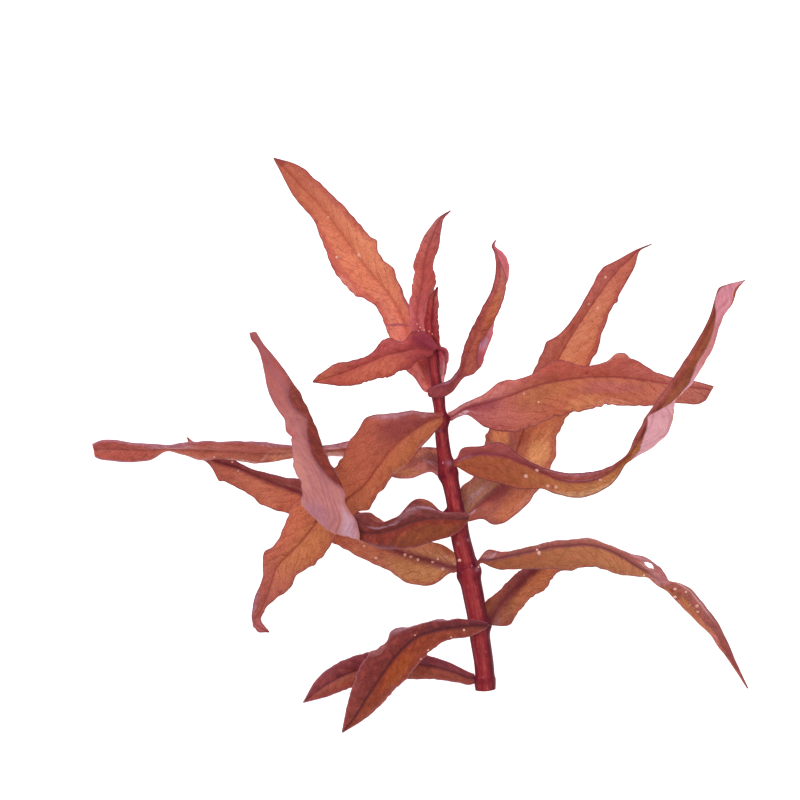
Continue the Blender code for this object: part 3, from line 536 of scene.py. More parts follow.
@dataclass
class Blade:
    """One leaf blade: its stations, its veins and waves, and its finish.

    Its places are the shares across at which a station's points stand. A creased blade works out one more
    point between the last two of each station. A hole has a start and an end along the blade, then a low
    and a high edge across it, all as shares.
    """

    name: str
    slot: str
    finish: BladeFinish
    stations: tuple[Station, ...]
    places: tuple[float, ...] = (-1.0, 0.0, 1.0)
    creased: bool = False
    waves: float = 4.0
    wave_height: float = 0.35
    ripple_height: float = 0.08
    bulge: float = 0.06
    vein_spacing: float = 3.0
    vein_lean: float = 1.5
    left_lobes: tuple[Lobe, ...] = ()
    right_lobes: tuple[Lobe, ...] = ()
    hole: tuple[float, float, float, float] | None = None
    seed: int = 1

    THICKNESS = 0.24
    MARGIN_THINNING = 0.55
    TIP_HALF_WIDTH = 0.12
    TIP_RIM = 0.3
    RESTING_HEIGHT = 0.14
    ROOT_DEPTH = 0.7
    ROOT_WIDTH = 0.8
    ROWS_PER_MM = 3.2
    COLUMNS = 38
    VEIN_ARCH = 0.05
    # How far from fold to margin a crease lies in x, y and z, where the margin is level and where it stands
    # up by more than the rise, and the decimals that are kept
    LEVEL_CREASE = (0.22, 0.22, 0.22)
    UPRIGHT_CREASE = (0.08, 0.08, 0.45)
    UPRIGHT_RISE = 0.75
    CREASE_DECIMALS = (1, 1, 2)
    # Reach, turn to a millimetre and start by seed of each wave in the side veins
    VEIN_WANDER = ((0.35, 0.31, 1.0), (0.25, 0.83, 2.0))
    # Small waves of the outline: their reach as a share of the half width, counts, lead and ends
    SWAY = 0.011
    SWAY_COUNTS = (7, 11, 17, 23, 29)
    SWAY_LEAD = 1.7
    SWAY_ENDS = (0.03, 0.97)
    # How squarely a lobe falls off, and how far in the column is that its outward way is read from
    LOBE_POWER = 1.6
    LOBE_COLUMNS = 3
    # The upper face: its waves, ripples, the pillows between side veins, and crinkles
    FADE_POWER = 0.7
    WAVE_LEAD = 0.25
    RIPPLES = 13.0
    RIPPLE_LEAD = 2.1
    RIPPLE_START = 0.13
    PILLOW_HEIGHT = 0.13
    PILLOW_REACH = (0.06, 0.97)
    PILLOW_FULL_WIDTH = 8.0
    PILLOW_LEAST = 0.2
    CRINKLE_HEIGHT = 0.05
    CRINKLE_PITCH = (0.9, 2.6)
    CRINKLE_COUNT = 7
    CRINKLE_SEED = 50
    # The three noises of the finish: spots to a millimetre, and how much each changes the tone
    CLOUD_SCALE, BLOT_SCALE, GRAIN_SCALE = 0.28, 0.8, 3.2
    CLOUD_TONE, BLOT_TONE, GRAIN_TONE = 0.4, 0.8, 0.9
    NOISE_START, STREAK_START = 7.3, 3.1
    PATCH_FRAY = 0.7

    def with_crease(self, station: np.ndarray) -> np.ndarray:
        """A station with one more point between its fold and its margin, the last two points.

        Args:
            station: the station's points.

        Returns:
            The points with the crease before the margin.
        """
        fold, margin = station[-2:]
        upright = margin[2] - fold[2] > self.UPRIGHT_RISE
        shares = np.array(self.UPRIGHT_CREASE if upright else self.LEVEL_CREASE)
        exact = (fold + shares * (margin - fold)).tolist()
        crease = [round(value, decimals) for value, decimals in zip(exact, self.CREASE_DECIMALS)]
        return np.insert(station, -1, crease, axis=0)

    def whole_stations(self) -> np.ndarray:
        """The stations with a pointed tip, given as one point, spread to a short edge.

        Returns:
            An array of stations by rails by three.
        """
        rows = [np.reshape(station, (-1, 3)) for station in self.stations]
        if self.creased:
            rows = [self.with_crease(row) if len(row) > 1 else row for row in rows]
        last, tip = rows[-2:]
        if len(tip) == 1:
            across = unit(last[-1] - last[0])
            spread = np.linspace(-self.TIP_HALF_WIDTH, self.TIP_HALF_WIDTH, len(last))
            rows[-1] = tip + spread[:, None] * across
        return np.array(rows)

    def rooted(self, stations: np.ndarray, stem: np.ndarray) -> np.ndarray:
        """The stations with one more before the first, sunk into the stem's skin.

        Args:
            stations: the blade's own stations.
            stem: points of the stem's centre line.

        Returns:
            The stations with the root in front.
        """
        middle = stations[0].mean(axis=0)
        nearest = stem[np.argmin(np.linalg.norm(stem - middle, axis=1))]
        inwards = unit(nearest - middle) * self.ROOT_DEPTH
        root = middle + (stations[0] - middle) * self.ROOT_WIDTH + inwards
        return np.concatenate([root[None], stations])

    def middle_surface(self, stem: np.ndarray) -> dict[str, np.ndarray]:
        """The blade's middle surface and what its finish needs to know at each point.

        Args:
            stem: points of the stem's centre line.

        Returns:
            Grids named points, normals, along, across, walked, aside, rim and phase.
        """
        stations = self.rooted(self.whole_stations(), stem)
        centre = stations.mean(axis=1)
        knots = np.concatenate([[0.0], np.cumsum(np.linalg.norm(np.diff(centre, axis=0), axis=1))])
        rows = int(knots[-1] * self.ROWS_PER_MM)
        walked = np.linspace(0.0, knots[-1], rows + 1)
        rails = smooth_through(knots, stations, walked)
        rail_steps = np.linspace(0.0, 1.0, len(self.places))
        steps = np.linspace(0.0, 1.0, self.COLUMNS + 1)
        points = smooth_through(rail_steps, rails.swapaxes(0, 1), steps).swapaxes(0, 1)
        across = np.interp(steps, rail_steps, self.places)
        along = walked / walked[-1]
        points = self.uneven_margins(points, along, across)
        lengths = np.linalg.norm(np.diff(points, axis=1), axis=2)
        from_left = np.concatenate([np.zeros((rows + 1, 1)), np.cumsum(lengths, axis=1)], axis=1)
        midrib = np.array([np.interp(0.0, across, row) for row in from_left])
        aside = from_left - midrib[:, None]
        from_tip = (walked[-1] - walked)[:, None] + self.TIP_RIM
        rim = np.minimum(np.minimum(from_left, from_left[:, -1:] - from_left), from_tip)
        lean = self.vein_lean * np.abs(aside) + self.VEIN_ARCH * aside**2
        wander = sum(
            reach * np.sin(turn * walked + start * self.seed) for reach, turn, start in self.VEIN_WANDER
        )
        phase = (walked[:, None] - lean + wander[:, None]) / self.vein_spacing
        grids = {
            "along": np.broadcast_to(along[:, None], aside.shape),
            "across": np.broadcast_to(across[None, :], aside.shape),
            "walked": np.broadcast_to(walked[:, None], aside.shape),
            "aside": aside,
            "rim": rim,
            "phase": phase,
        }
        grids["points"] = points + self.normals(points) * self.relief(grids)[..., None]
        grids["normals"] = self.normals(grids["points"])
        return grids

    def uneven_margins(self, points: np.ndarray, along: np.ndarray, across: np.ndarray) -> np.ndarray:
        """Moves the margins in and out a little, as on a grown leaf.

        Args:
            points: the blade's middle surface.
            along: each row's share along.
            across: each column's share across.

        Returns:
            The moved surface.
        """
        rng = np.random.default_rng(self.seed)
        middle = points[:, np.argmin(np.abs(across))][:, None]
        starts = rng.uniform(0.0, 2 * math.pi, len(self.SWAY_COUNTS))
        side = np.sign(across)[None, :]
        sway = sum(
            self.SWAY * np.sin(2 * math.pi * count * along[:, None] + start + self.SWAY_LEAD * side)
            for count, start in zip(self.SWAY_COUNTS, starts)
        )
        fade = np.sin(math.pi * np.clip(along, *self.SWAY_ENDS))[:, None]
        moved = middle + (points - middle) * (1 + sway * fade * np.abs(across)[None, :] ** 2)[..., None]
        for sign, edge, lobes in ((-1, 0, self.left_lobes), (1, self.COLUMNS, self.right_lobes)):
            outward = unit(points[:, edge] - points[:, edge - sign * self.LOBE_COLUMNS])[:, None]
            pull = np.clip(across * sign, 0.0, 1.0)[None, :] ** 2
            for lobe in lobes:
                bell = np.exp(-(np.abs((along - lobe.along) / lobe.reach) ** self.LOBE_POWER))[:, None]
                moved = moved + outward * (lobe.out * bell * pull)[..., None]
        return moved

    def relief(self, grids: dict[str, np.ndarray]) -> np.ndarray:
        """How far the upper face stands off the smooth surface through the rails.

        Args:
            grids: the grids that middle_surface has so far.

        Returns:
            Heights along the normals.
        """
        along, across, aside = grids["along"], grids["across"], grids["aside"]
        width = aside[:, -1:] - aside[:, :1]
        side = np.sign(across)
        reach = np.abs(across)
        halves = self.bulge * width * np.sin(math.pi * reach)
        fade = np.sin(math.pi * np.clip(along, 0.0, 1.0)) ** self.FADE_POWER
        turn = 2 * math.pi * (self.waves * along + self.WAVE_LEAD * side)
        waves = self.wave_height * np.sin(turn) * reach**2 * fade
        turn = 2 * math.pi * (self.RIPPLES * along + self.RIPPLE_START * self.seed) + self.RIPPLE_LEAD * side
        ripples = self.ripple_height * np.sin(turn) * reach**3 * fade
        pillows = np.sin(math.pi * grids["phase"]) ** 2
        pillows = pillows * np.sin(math.pi * np.clip(reach, *self.PILLOW_REACH))
        fullness = np.clip(width / self.PILLOW_FULL_WIDTH, self.PILLOW_LEAST, 1.0)
        pillows = self.PILLOW_HEIGHT * pillows * fullness
        rng = np.random.default_rng(self.seed + self.CRINKLE_SEED)
        crinkle = np.zeros_like(aside)
        for _ in range(self.CRINKLE_COUNT):
            heading = rng.uniform(0, math.pi)
            start = rng.uniform(0, 2 * math.pi)
            pitch = rng.uniform(*self.CRINKLE_PITCH)
            travel = grids["walked"] * math.cos(heading) + aside * math.sin(heading)
            crinkle += self.CRINKLE_HEIGHT / 2 * np.sin(math.pi * travel / pitch + start)
        return halves + waves + ripples + pillows + crinkle * fade

    @staticmethod
    def normals(points: np.ndarray) -> np.ndarray:
        """Unit normals on the upper face of a grid of points."""
        return unit(np.cross(np.gradient(points, axis=1), np.gradient(points, axis=0)))

    def kept_cells(self, grids: dict[str, np.ndarray]) -> np.ndarray:
        """Which cells of the grid the blade has, all but those in its hole.

        Args:
            grids: what middle_surface gave.

        Returns:
            True where there is leaf.
        """
        kept = np.ones((grids["rim"].shape[0] - 1, grids["rim"].shape[1] - 1), bool)
        if self.hole:
            start, end, low, high = self.hole
            along, across = grids["along"][:-1, :-1], grids["across"][:-1, :-1]
            share = np.clip((along - start) / (end - start), 0.0, 1.0)
            belly = np.sin(math.pi * share)
            middle = (low + high) / 2
            inside = (along > start) & (along < end)
            inside &= np.abs(across - middle) < (high - low) / 2 * belly
            kept &= ~inside
        return kept

    def mesh(self, grids: dict[str, np.ndarray]) -> bpy.types.Mesh:
        """A closed thin mesh on both sides of the middle surface, with what the finish reads.

        Args:
            grids: what middle_surface gave.

        Returns:
            The mesh in metres.
        """
        points, normals = grids["points"], grids["normals"]
        reach = np.abs(grids["across"])
        half = self.THICKNESS / 2 * (1 - self.MARGIN_THINNING * reach**6)[..., None]
        upper, under = points + normals * half, points - normals * half
        lowest = np.minimum(upper[..., 2], under[..., 2])
        drop = np.where(lowest < self.RESTING_HEIGHT, lowest, 0.0)
        upper[..., 2] -= drop
        under[..., 2] -= drop
        rows, columns = points.shape[:2]
        index = np.arange(rows * columns).reshape(rows, columns)
        kept = self.kept_cells(grids)
        a, b = index[:-1, :-1][kept], index[1:, :-1][kept]
        c, d = index[1:, 1:][kept], index[:-1, 1:][kept]
        below = rows * columns
        faces = [np.stack([a, b, c, d], axis=1), np.stack([a, d, c, b], axis=1) + below]
        edges = np.concatenate([np.stack(pair, axis=1) for pair in ((a, b), (b, c), (c, d), (d, a))])
        known = {tuple(edge) for edge in edges.tolist()}
        open_edges = np.array([edge for edge in edges.tolist() if (edge[1], edge[0]) not in known])
        first, second = open_edges[:, 0], open_edges[:, 1]
        faces.append(np.stack([second, first, first + below, second + below], axis=1))
        mesh = bpy.data.meshes.new(self.name)
        places = np.concatenate([upper.reshape(-1, 3), under.reshape(-1, 3)]) * MM
        mesh.from_pydata(places.tolist(), [], np.concatenate(faces).tolist())
        self.write_marks(mesh, grids)
        return mesh

    @staticmethod
    def write_marks(mesh: bpy.types.Mesh, grids: dict[str, np.ndarray]) -> None:
        """Writes to the mesh what the finish reads at each point.

        Args:
            mesh: the blade's mesh.
            grids: what middle_surface gave.
        """
        flat = {name: np.tile(grid.reshape(-1), 2) for name, grid in grids.items() if grid.ndim == 2}
        half = len(flat["along"]) // 2
        under = np.concatenate([np.zeros(half), np.ones(half)])
        write_values(mesh, "place", np.stack([flat["along"], flat["across"], under], axis=1))
        write_values(mesh, "span", np.stack([flat["walked"], flat["aside"], flat["rim"]], axis=1))
        write_values(mesh, "phase", flat["phase"])

    def dress(self) -> bpy.types.Material:
        """The blade's material: tones, mottling, veins, midrib, rim and patches, some of them painted sheen.

        Returns:
            The material.
        """
        look = self.finish
        paint = Paint(f"{self.name}_tissue")
        along, across, below = paint.split(paint.attribute("place"))
        walked, aside, rim = paint.split(paint.attribute("span"))
        phase = paint.attribute("phase", paint.NUMBER)
        flat = paint.join(walked, aside, self.seed * self.NOISE_START)
        cloud = paint.noise(flat, self.CLOUD_SCALE, 3.0, 0.6)
        blot = paint.noise(flat, self.BLOT_SCALE, 4.0, 0.5)
        grain = paint.noise(flat, self.GRAIN_SCALE, 4.0)
        upper = paint.mix(
            self.toned(paint, look.left, along),
            self.toned(paint, look.right, along),
            (across + (cloud - 0.5) * 0.5).step(-0.22, 0.22),
        )
        upper = paint.mix(upper, look.blush, blot.step(0.45, 0.72) * look.blush_strength)
        upper = self.patched(paint, upper, Face.UPPER, along, across, cloud)
        band = (rim + (blot - 0.5) * 1.6).step(1.0, 0.1)
        upper = paint.mix(upper, look.margin, band * look.margin_strength)
        main, net = self.vein_lines(paint, phase, flat, aside, rim)
        upper = paint.mix(upper, look.vein, main * look.vein_strength)
        upper = paint.mix(upper, look.vein, net * look.net_strength)
        spread = (aside + (blot - 0.5) * 0.5).size()
        groove = (spread / (0.45 + 0.55 * (1 - along))).step(look.midrib_width, look.midrib_width * 0.05)
        reached = along.step(look.midrib_end + 0.06, look.midrib_end - 0.06)
        upper = paint.mix(upper, look.midrib, groove * (0.55 + cloud * 0.9) * reached * look.midrib_strength)
        line = spread.step(0.3, 0.08) * grain.step(0.3, 0.5) * reached
        upper = paint.mix(upper, look.midrib, line * look.line_strength)
        under = self.toned(paint, look.under, along)
        under = self.patched(paint, under, Face.UNDER, along, across, cloud)
        lengthwise = paint.join(walked * 0.12, aside * 1.3, self.seed * self.STREAK_START)
        streak = paint.noise(lengthwise, 1.0, 3.0)
        under = paint.mix(under, look.under_vein, main.most(net * 0.5) * 0.25)
        under = paint.mix(under, look.under_vein, streak.step(0.48, 0.62) * 0.35)
        under = paint.mix(under, look.under_vein, spread.step(0.6, 0.05) * 0.4)
        colour = paint.mix(upper, under, below.step(0.3, 0.7))
        # The rim colour along the margins: a dark edge line, and painted sheen where a leaf's rim colour is
        # lilac
        edge = (rim + (grain - 0.5) * 0.2).step(look.rim_width, look.rim_width * 0.3) * look.rim_strength
        colour = paint.mix(colour, look.rim, edge * along.step(look.rim_start - 0.02, look.rim_start))
        change = (cloud - 0.5) * self.CLOUD_TONE + (blot - 0.5) * self.BLOT_TONE
        change = change + (grain - 0.5) * self.GRAIN_TONE
        colour = paint.vary(colour, change * (1 - below * 0.5))
        height = grain * 0.6 + (1 - main) * 0.4
        return paint.set(
            Base_Color=colour,
            Roughness=look.roughness + (grain - 0.5) * 0.18,
            Normal=paint.bump(height, 0.35, 0.12),
            Specular_IOR_Level=0.18,
        )

    @staticmethod
    def toned(paint: Paint, tones: Tones, along: Wire) -> Wire:
        """Base, middle and tip colours run into each other.

        Args:
            paint: the material's kit.
            tones: the three colours.
            along: the share along the blade.

        Returns:
            The colour.
        """
        lower = paint.mix(tones.base, tones.middle, along.step(0.04, 0.45))
        return paint.mix(lower, tones.tip, along.step(0.55, 0.97))

    def patched(self, paint: Paint, colour: Wire, face: Face, along: Wire, across: Wire, cloud: Wire) -> Wire:
        """The patches of one face laid over its colour.

        Args:
            paint: the material's kit.
            colour: the face's colour so far.
            face: which face it is.
            along: the share along the blade.
            across: the share across it.
            cloud: noise that frays the patches' edges.

        Returns:
            The colour with its patches.
        """
        for patch in self.finish.patches:
            if patch.face is not face:
                continue
            onward = (along - across * patch.slant - patch.along) / patch.reach[0]
            sideways = (across - patch.across) / patch.reach[1]
            mask = (onward**2.0 + sideways**2.0 + (cloud - 0.5) * self.PATCH_FRAY).step(1.0, 0.1)
            colour = paint.mix(colour, patch.colour, mask * patch.strength)
        return colour

    def vein_lines(self, paint: Paint, phase: Wire, flat: Wire, aside: Wire, rim: Wire) -> tuple[Wire, Wire]:
        """The soft side veins with the loops that join them, and the finer net between them.

        Args:
            paint: the material's kit.
            phase: a whole number on each side vein.
            flat: the place on the flattened blade.
            aside: the distance from the midrib.
            rim: the distance from the nearest margin.

        Returns:
            Two values that are 1 on a vein and 0 between veins.
        """
        slow = paint.noise(flat, 0.2, 2.0) - 0.5
        wobble = paint.noise(flat, 0.8, 3.0) - 0.5
        fading = paint.noise(flat, 0.45, 2.0).step(0.36, 0.6)
        swayed = phase + slow * 1.6 + wobble * 0.5
        step = swayed.fraction() - 0.5
        main = ((0.5 - step.size()) * self.vein_spacing).step(0.3, 0.02) * (0.3 + 0.7 * fading)
        loop = (rim - 0.7 - step**2.0 * 2.6 + wobble).size().step(0.26, 0.02) * fading
        bent = paint.join(swayed * self.vein_spacing + wobble, aside * 0.6 + wobble * 1.6, slow)
        net = paint.cells(bent, 0.7).step(0.1, 0.0).most(paint.cells(bent, 1.7).step(0.14, 0.0) * 0.6)
        return main.most(loop * 0.8), net

    def build(self, stem: np.ndarray) -> bpy.types.Object:
        """The finished blade in place of its node.

        Args:
            stem: points of the stem's centre line.

        Returns:
            The piece.
        """
        mesh = self.mesh(self.middle_surface(stem))
        piece = finish_piece(f"{self.name}_blade", mesh, self.dress())
        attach(piece, BODY)
        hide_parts(self.name)
        log.info("%s: %d faces", piece.name, len(mesh.polygons))
        return piece


class GrowthTree(NodeKit):
    """A Geometry Nodes tree with one mesh coming in and one going out."""

    def __init__(self, name: str, numbers: dict[str, float], counts: dict[str, int]) -> None:
        """Starts the tree.

        Args:
            name: the tree's name.
            numbers: its inputs that are lengths or shares, with their values.
            counts: its inputs that are whole numbers, with their values.
        """
        super().__init__(bpy.data.node_groups.new(name, "GeometryNodeTree"))
        face = self.tree.interface
        face.new_socket("Geometry", in_out="INPUT", socket_type="NodeSocketGeometry")
        for kind, inputs in (("NodeSocketFloat", numbers), ("NodeSocketInt", counts)):
            for label in inputs:
                face.new_socket(label, in_out="INPUT", socket_type=kind)
        face.new_socket("Skin", in_out="INPUT", socket_type="NodeSocketMaterial")
        face.new_socket("Geometry", in_out="OUTPUT", socket_type="NodeSocketGeometry")
        self.values = {**numbers, **counts}
        self.entry = self.tree.nodes.new("NodeGroupInput")

    def given(self, label: str) -> Wire:
        """The wire from one of the tree's inputs."""
        return Wire(self, self.entry.outputs[label])

    def named(self, name: str) -> Wire:
        """A number that each point of the mesh that comes in carries."""
        return self.node("GeometryNodeInputNamedAttribute", {"data_type": "FLOAT"}, {"Name": name})

    def store(self, geometry: Wire, name: str, value: Wire, kind: str = "FLOAT") -> Wire:
        """The geometry with a value written to it at each point."""
        values = {"Geometry": geometry, "Name": name, "Value": value}
        return self.node("GeometryNodeStoreNamedAttribute", {"data_type": kind, "domain": "POINT"}, values)

    def close(self, geometry: Wire) -> None:
        """Ends the tree with real meshes that wear its skin.

        Args:
            geometry: what the tree has grown.
        """
        real = self.node("GeometryNodeRealizeInstances", {}, {0: geometry})
        smooth = self.node("GeometryNodeSetShadeSmooth", {}, {0: real})
        values = {"Geometry": smooth, "Material": self.given("Skin")}
        dressed = self.node("GeometryNodeSetMaterial", {}, values)
        end = self.tree.nodes.new("NodeGroupOutput")
        self.tree.links.new(dressed.socket, end.inputs[0])

    def grow(self, name: str, seedling: bpy.types.Mesh, skin: bpy.types.Material) -> bpy.types.Mesh:
        """Runs the tree on a mesh.

        Args:
            name: the name of the result.
            seedling: the mesh that goes in.
            skin: the material that the result wears.

        Returns:
            A plain mesh.
        """
        holder = bpy.data.objects.new(f"{name}_seedling", seedling)
        bpy.context.scene.collection.objects.link(holder)
        modifier = holder.modifiers.new("growth", "NODES")
        modifier.node_group = self.tree
        sockets = {s.name: s.identifier for s in self.tree.interface.items_tree if s.in_out == "INPUT"}
        for label, value in self.values.items():
            modifier[sockets[label]] = value
        modifier[sockets["Skin"]] = skin
        graph = bpy.context.evaluated_depsgraph_get()
        mesh = bpy.data.meshes.new_from_object(holder.evaluated_get(graph))
        holder.modifiers.remove(modifier)
        bpy.data.objects.remove(holder)
        return mesh


@dataclass
class Stem:
    """The main stem: its centre line with radii, its swollen nodes and its ribs."""

    line: tuple[tuple[float, float, float, float], ...]
    nodes: tuple[float, ...]
    finish: StemFinish = StemFinish()
    knuckles: tuple[tuple[Point, float, float], ...] = ()
    marks: tuple[Mark, ...] = ()
    node_swelling: float = 0.2
    reach_above: float = 0.6
    reach_below: float = 1.9
    joint_reach: float = 0.9
    steps: int = 320
    sides: int = 60
    ribs: int = 4
    rib_depth: float = 0.02
    ridges: int = 11
    ridge_depth: float = 0.012
    sharp_angle: float = 60.0

    SPLINE_LENGTH = 1

    def centre_line(self) -> tuple[np.ndarray, np.ndarray]:
        """The stem's centre line.

        Returns:
            Its points, and its radius at each, swollen at the leaf pairs.
        """
        line = np.array(self.line, float)
        smooth = smooth_through(np.arange(len(line)) * 1.0, line, np.linspace(0, len(line) - 1, self.steps))
        points, radii = smooth[:, :3], smooth[:, 3].copy()
        for place in self.nodes:
            above = points[:, 1] - place
            reach = np.where(above > 0, self.reach_above, self.reach_below)
            radii += self.node_swelling * np.exp(-((above / reach) ** 2))
        return points, radii

    def seedling(self) -> bpy.types.Mesh:
        """The centre line as a chain of edges.

        Returns:
            A mesh that carries the stem's radius and how near each point is to a leaf pair.
        """
        points, radii = self.centre_line()
        mesh = bpy.data.meshes.new("stem_line")
        edges = [(i, i + 1) for i in range(len(points) - 1)]
        mesh.from_pydata((points * MM).tolist(), edges, [])
        write_values(mesh, "girth", radii * MM)
        near = np.zeros(len(points))
        for place in self.nodes:
            near += np.exp(-(((points[:, 1] - place) / self.joint_reach) ** 2))
        write_values(mesh, "joint", near)
        return mesh

    def tree(self) -> GrowthTree:
        """The tree that sweeps a ribbed section along the centre line.

        Returns:
            The tree.
        """
        tree = GrowthTree(
            "stem_growth",
            {"Rib Depth": self.rib_depth, "Ridge Depth": self.ridge_depth},
            {"Sides": self.sides, "Ribs": self.ribs, "Ridges": self.ridges},
        )
        rail = tree.node("GeometryNodeMeshToCurve", {}, {"Mesh": tree.given("Geometry")})
        walked = tree.node("GeometryNodeSplineParameter", {}, {}, self.SPLINE_LENGTH)
        rail = tree.store(rail, "along", walked)
        values = {"Resolution": tree.given("Sides"), "Radius": 1.0}
        circle = tree.node("GeometryNodeCurvePrimitiveCircle", {}, values)
        circle_place = tree.node("GeometryNodeInputPosition")
        circle = tree.store(circle, "section", circle_place, "FLOAT_VECTOR")
        angle = tree.node("GeometryNodeSplineParameter") * (2 * math.pi)
        ribs = angle.math("COSINE", angle * tree.given("Ribs")) * tree.given("Rib Depth")
        ridges = angle.math("COSINE", angle * tree.given("Ridges")) * tree.given("Ridge Depth")
        values = {0: circle_place, 3: ribs + ridges + 1.0}
        place = tree.node("ShaderNodeVectorMath", {"operation": "SCALE"}, values)
        section = tree.node("GeometryNodeSetPosition", {}, {"Geometry": circle, "Position": place})
        values = {"Curve": rail, "Profile Curve": section, "Scale": tree.named("girth"), "Fill Caps": True}
        tree.close(tree.node("GeometryNodeCurveToMesh", {}, values))
        return tree

    def dress(self) -> bpy.types.Material:
        """The skin: crimson with pale streaks and specks, darker at the nodes and dark marks, paler at the
        pale marks, with painted shade down both sides and a painted highlight down the middle.

        Returns:
            The material.
        """
        look = self.finish
        paint = Paint("stem_skin_tissue")
        along = paint.attribute("along", paint.NUMBER) / MM
        joint = paint.attribute("joint", paint.NUMBER)
        flank = paint.attribute("flank", paint.NUMBER)
        east, north, _ = paint.split(paint.attribute("section"))
        fibre = paint.noise(paint.join(east * 3.0, north * 3.0, along * 0.13), 1.6, 5.0, 0.4)
        cloud = paint.noise(paint.join(east, north, along * 0.22), 1.5, 4.0, 0.5)
        speck = paint.noise(paint.join(east * 2.0, north * 2.0, along), 1.4, 3.0)
        colour = paint.mix(look.skin, look.shade, cloud.step(0.52, 0.34) * 0.5)
        # Painted highlight: the streak colour laid down the middle of the stem, where light falls on it
        colour = paint.mix(colour, look.streak, (flank - 0.05).size().step(0.5, 0.0) * 0.35)
        colour = paint.mix(colour, look.streak, (fibre + (cloud - 0.5) * 0.5).step(0.5, 0.7) * 0.45)
        # Painted shade: the shade colour along both sides of the stem, where they turn away from the light
        colour = paint.mix(colour, look.shade, (flank + 0.08).size().step(0.42, 0.95) * 0.9)
        colour = paint.mix(colour, look.node, (joint + (cloud - 0.5) * 0.8).step(0.3, 0.9) * 0.5)
        colour = paint.mix(colour, look.bloom, speck.step(0.64, 0.72) * (0.12 + 0.35 * joint))
        colour = paint.mix(colour, look.shade, paint.attribute("dark_mark", paint.NUMBER) * 0.8)
        colour = paint.mix(colour, look.bloom, paint.attribute("pale_mark", paint.NUMBER) * 0.4)
        colour = paint.lighten(colour, (speck - 0.5) * 0.6 + (fibre - 0.5) * 0.5 + 1.0)
        return paint.set(
            Base_Color=colour,
            Roughness=look.roughness + (speck - 0.5) * 0.2,
            Normal=paint.bump(fibre + speck * 0.4, 0.3, 0.12),
            Specular_IOR_Level=0.08,
        )

    def shape_skin(self, mesh: bpy.types.Mesh) -> None:
        """Raises the knuckles, keeps the skin off the floor and marks how far aside each point is.

        Args:
            mesh: the swept skin, which is changed.
        """
        line, radii = self.centre_line()
        places = np.empty(len(mesh.vertices) * 3, np.float32)
        mesh.vertices.foreach_get("co", places)
        places = places.reshape(-1, 3).astype(float) / MM
        nearest = np.array([np.argmin(np.sum((line - place) ** 2, axis=1)) for place in places])
        outward = (places - line[nearest]) / radii[nearest, None]
        for centre, reach, height in self.knuckles:
            far = np.sum((places - np.array(centre)) ** 2, axis=1)
            places += outward * (height * np.exp(-far / reach**2))[:, None]
        places[:, 2] = np.maximum(places[:, 2], 0.0)
        mesh.vertices.foreach_set("co", (places * MM).ravel())
        # How far each point stands towards either side, which the skin's painted shade and highlight read
        write_values(mesh, "flank", outward[:, 0])
        for name, pale in (("dark_mark", False), ("pale_mark", True)):
            depth = np.zeros(len(places))
            for mark in (m for m in self.marks if m.pale is pale):
                far = (places - np.array(mark.centre)) / np.array(mark.reach)
                depth = np.maximum(depth, np.exp(-np.sum(far**2, axis=1)))
            write_values(mesh, name, depth)

    def build(self) -> bpy.types.Object:
        """The finished stem in place of its node.

        Returns:
            The piece.
        """
        skin = self.dress()
        mesh = self.tree().grow("stem", self.seedling(), skin)
        self.shape_skin(mesh)
        piece = finish_piece("stem_body", mesh, skin)
        mesh.set_sharp_from_angle(angle=math.radians(self.sharp_angle))
        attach(piece, BODY)
        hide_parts("stem")
        log.info("%s: %d faces", piece.name, len(mesh.polygons))
        return piece


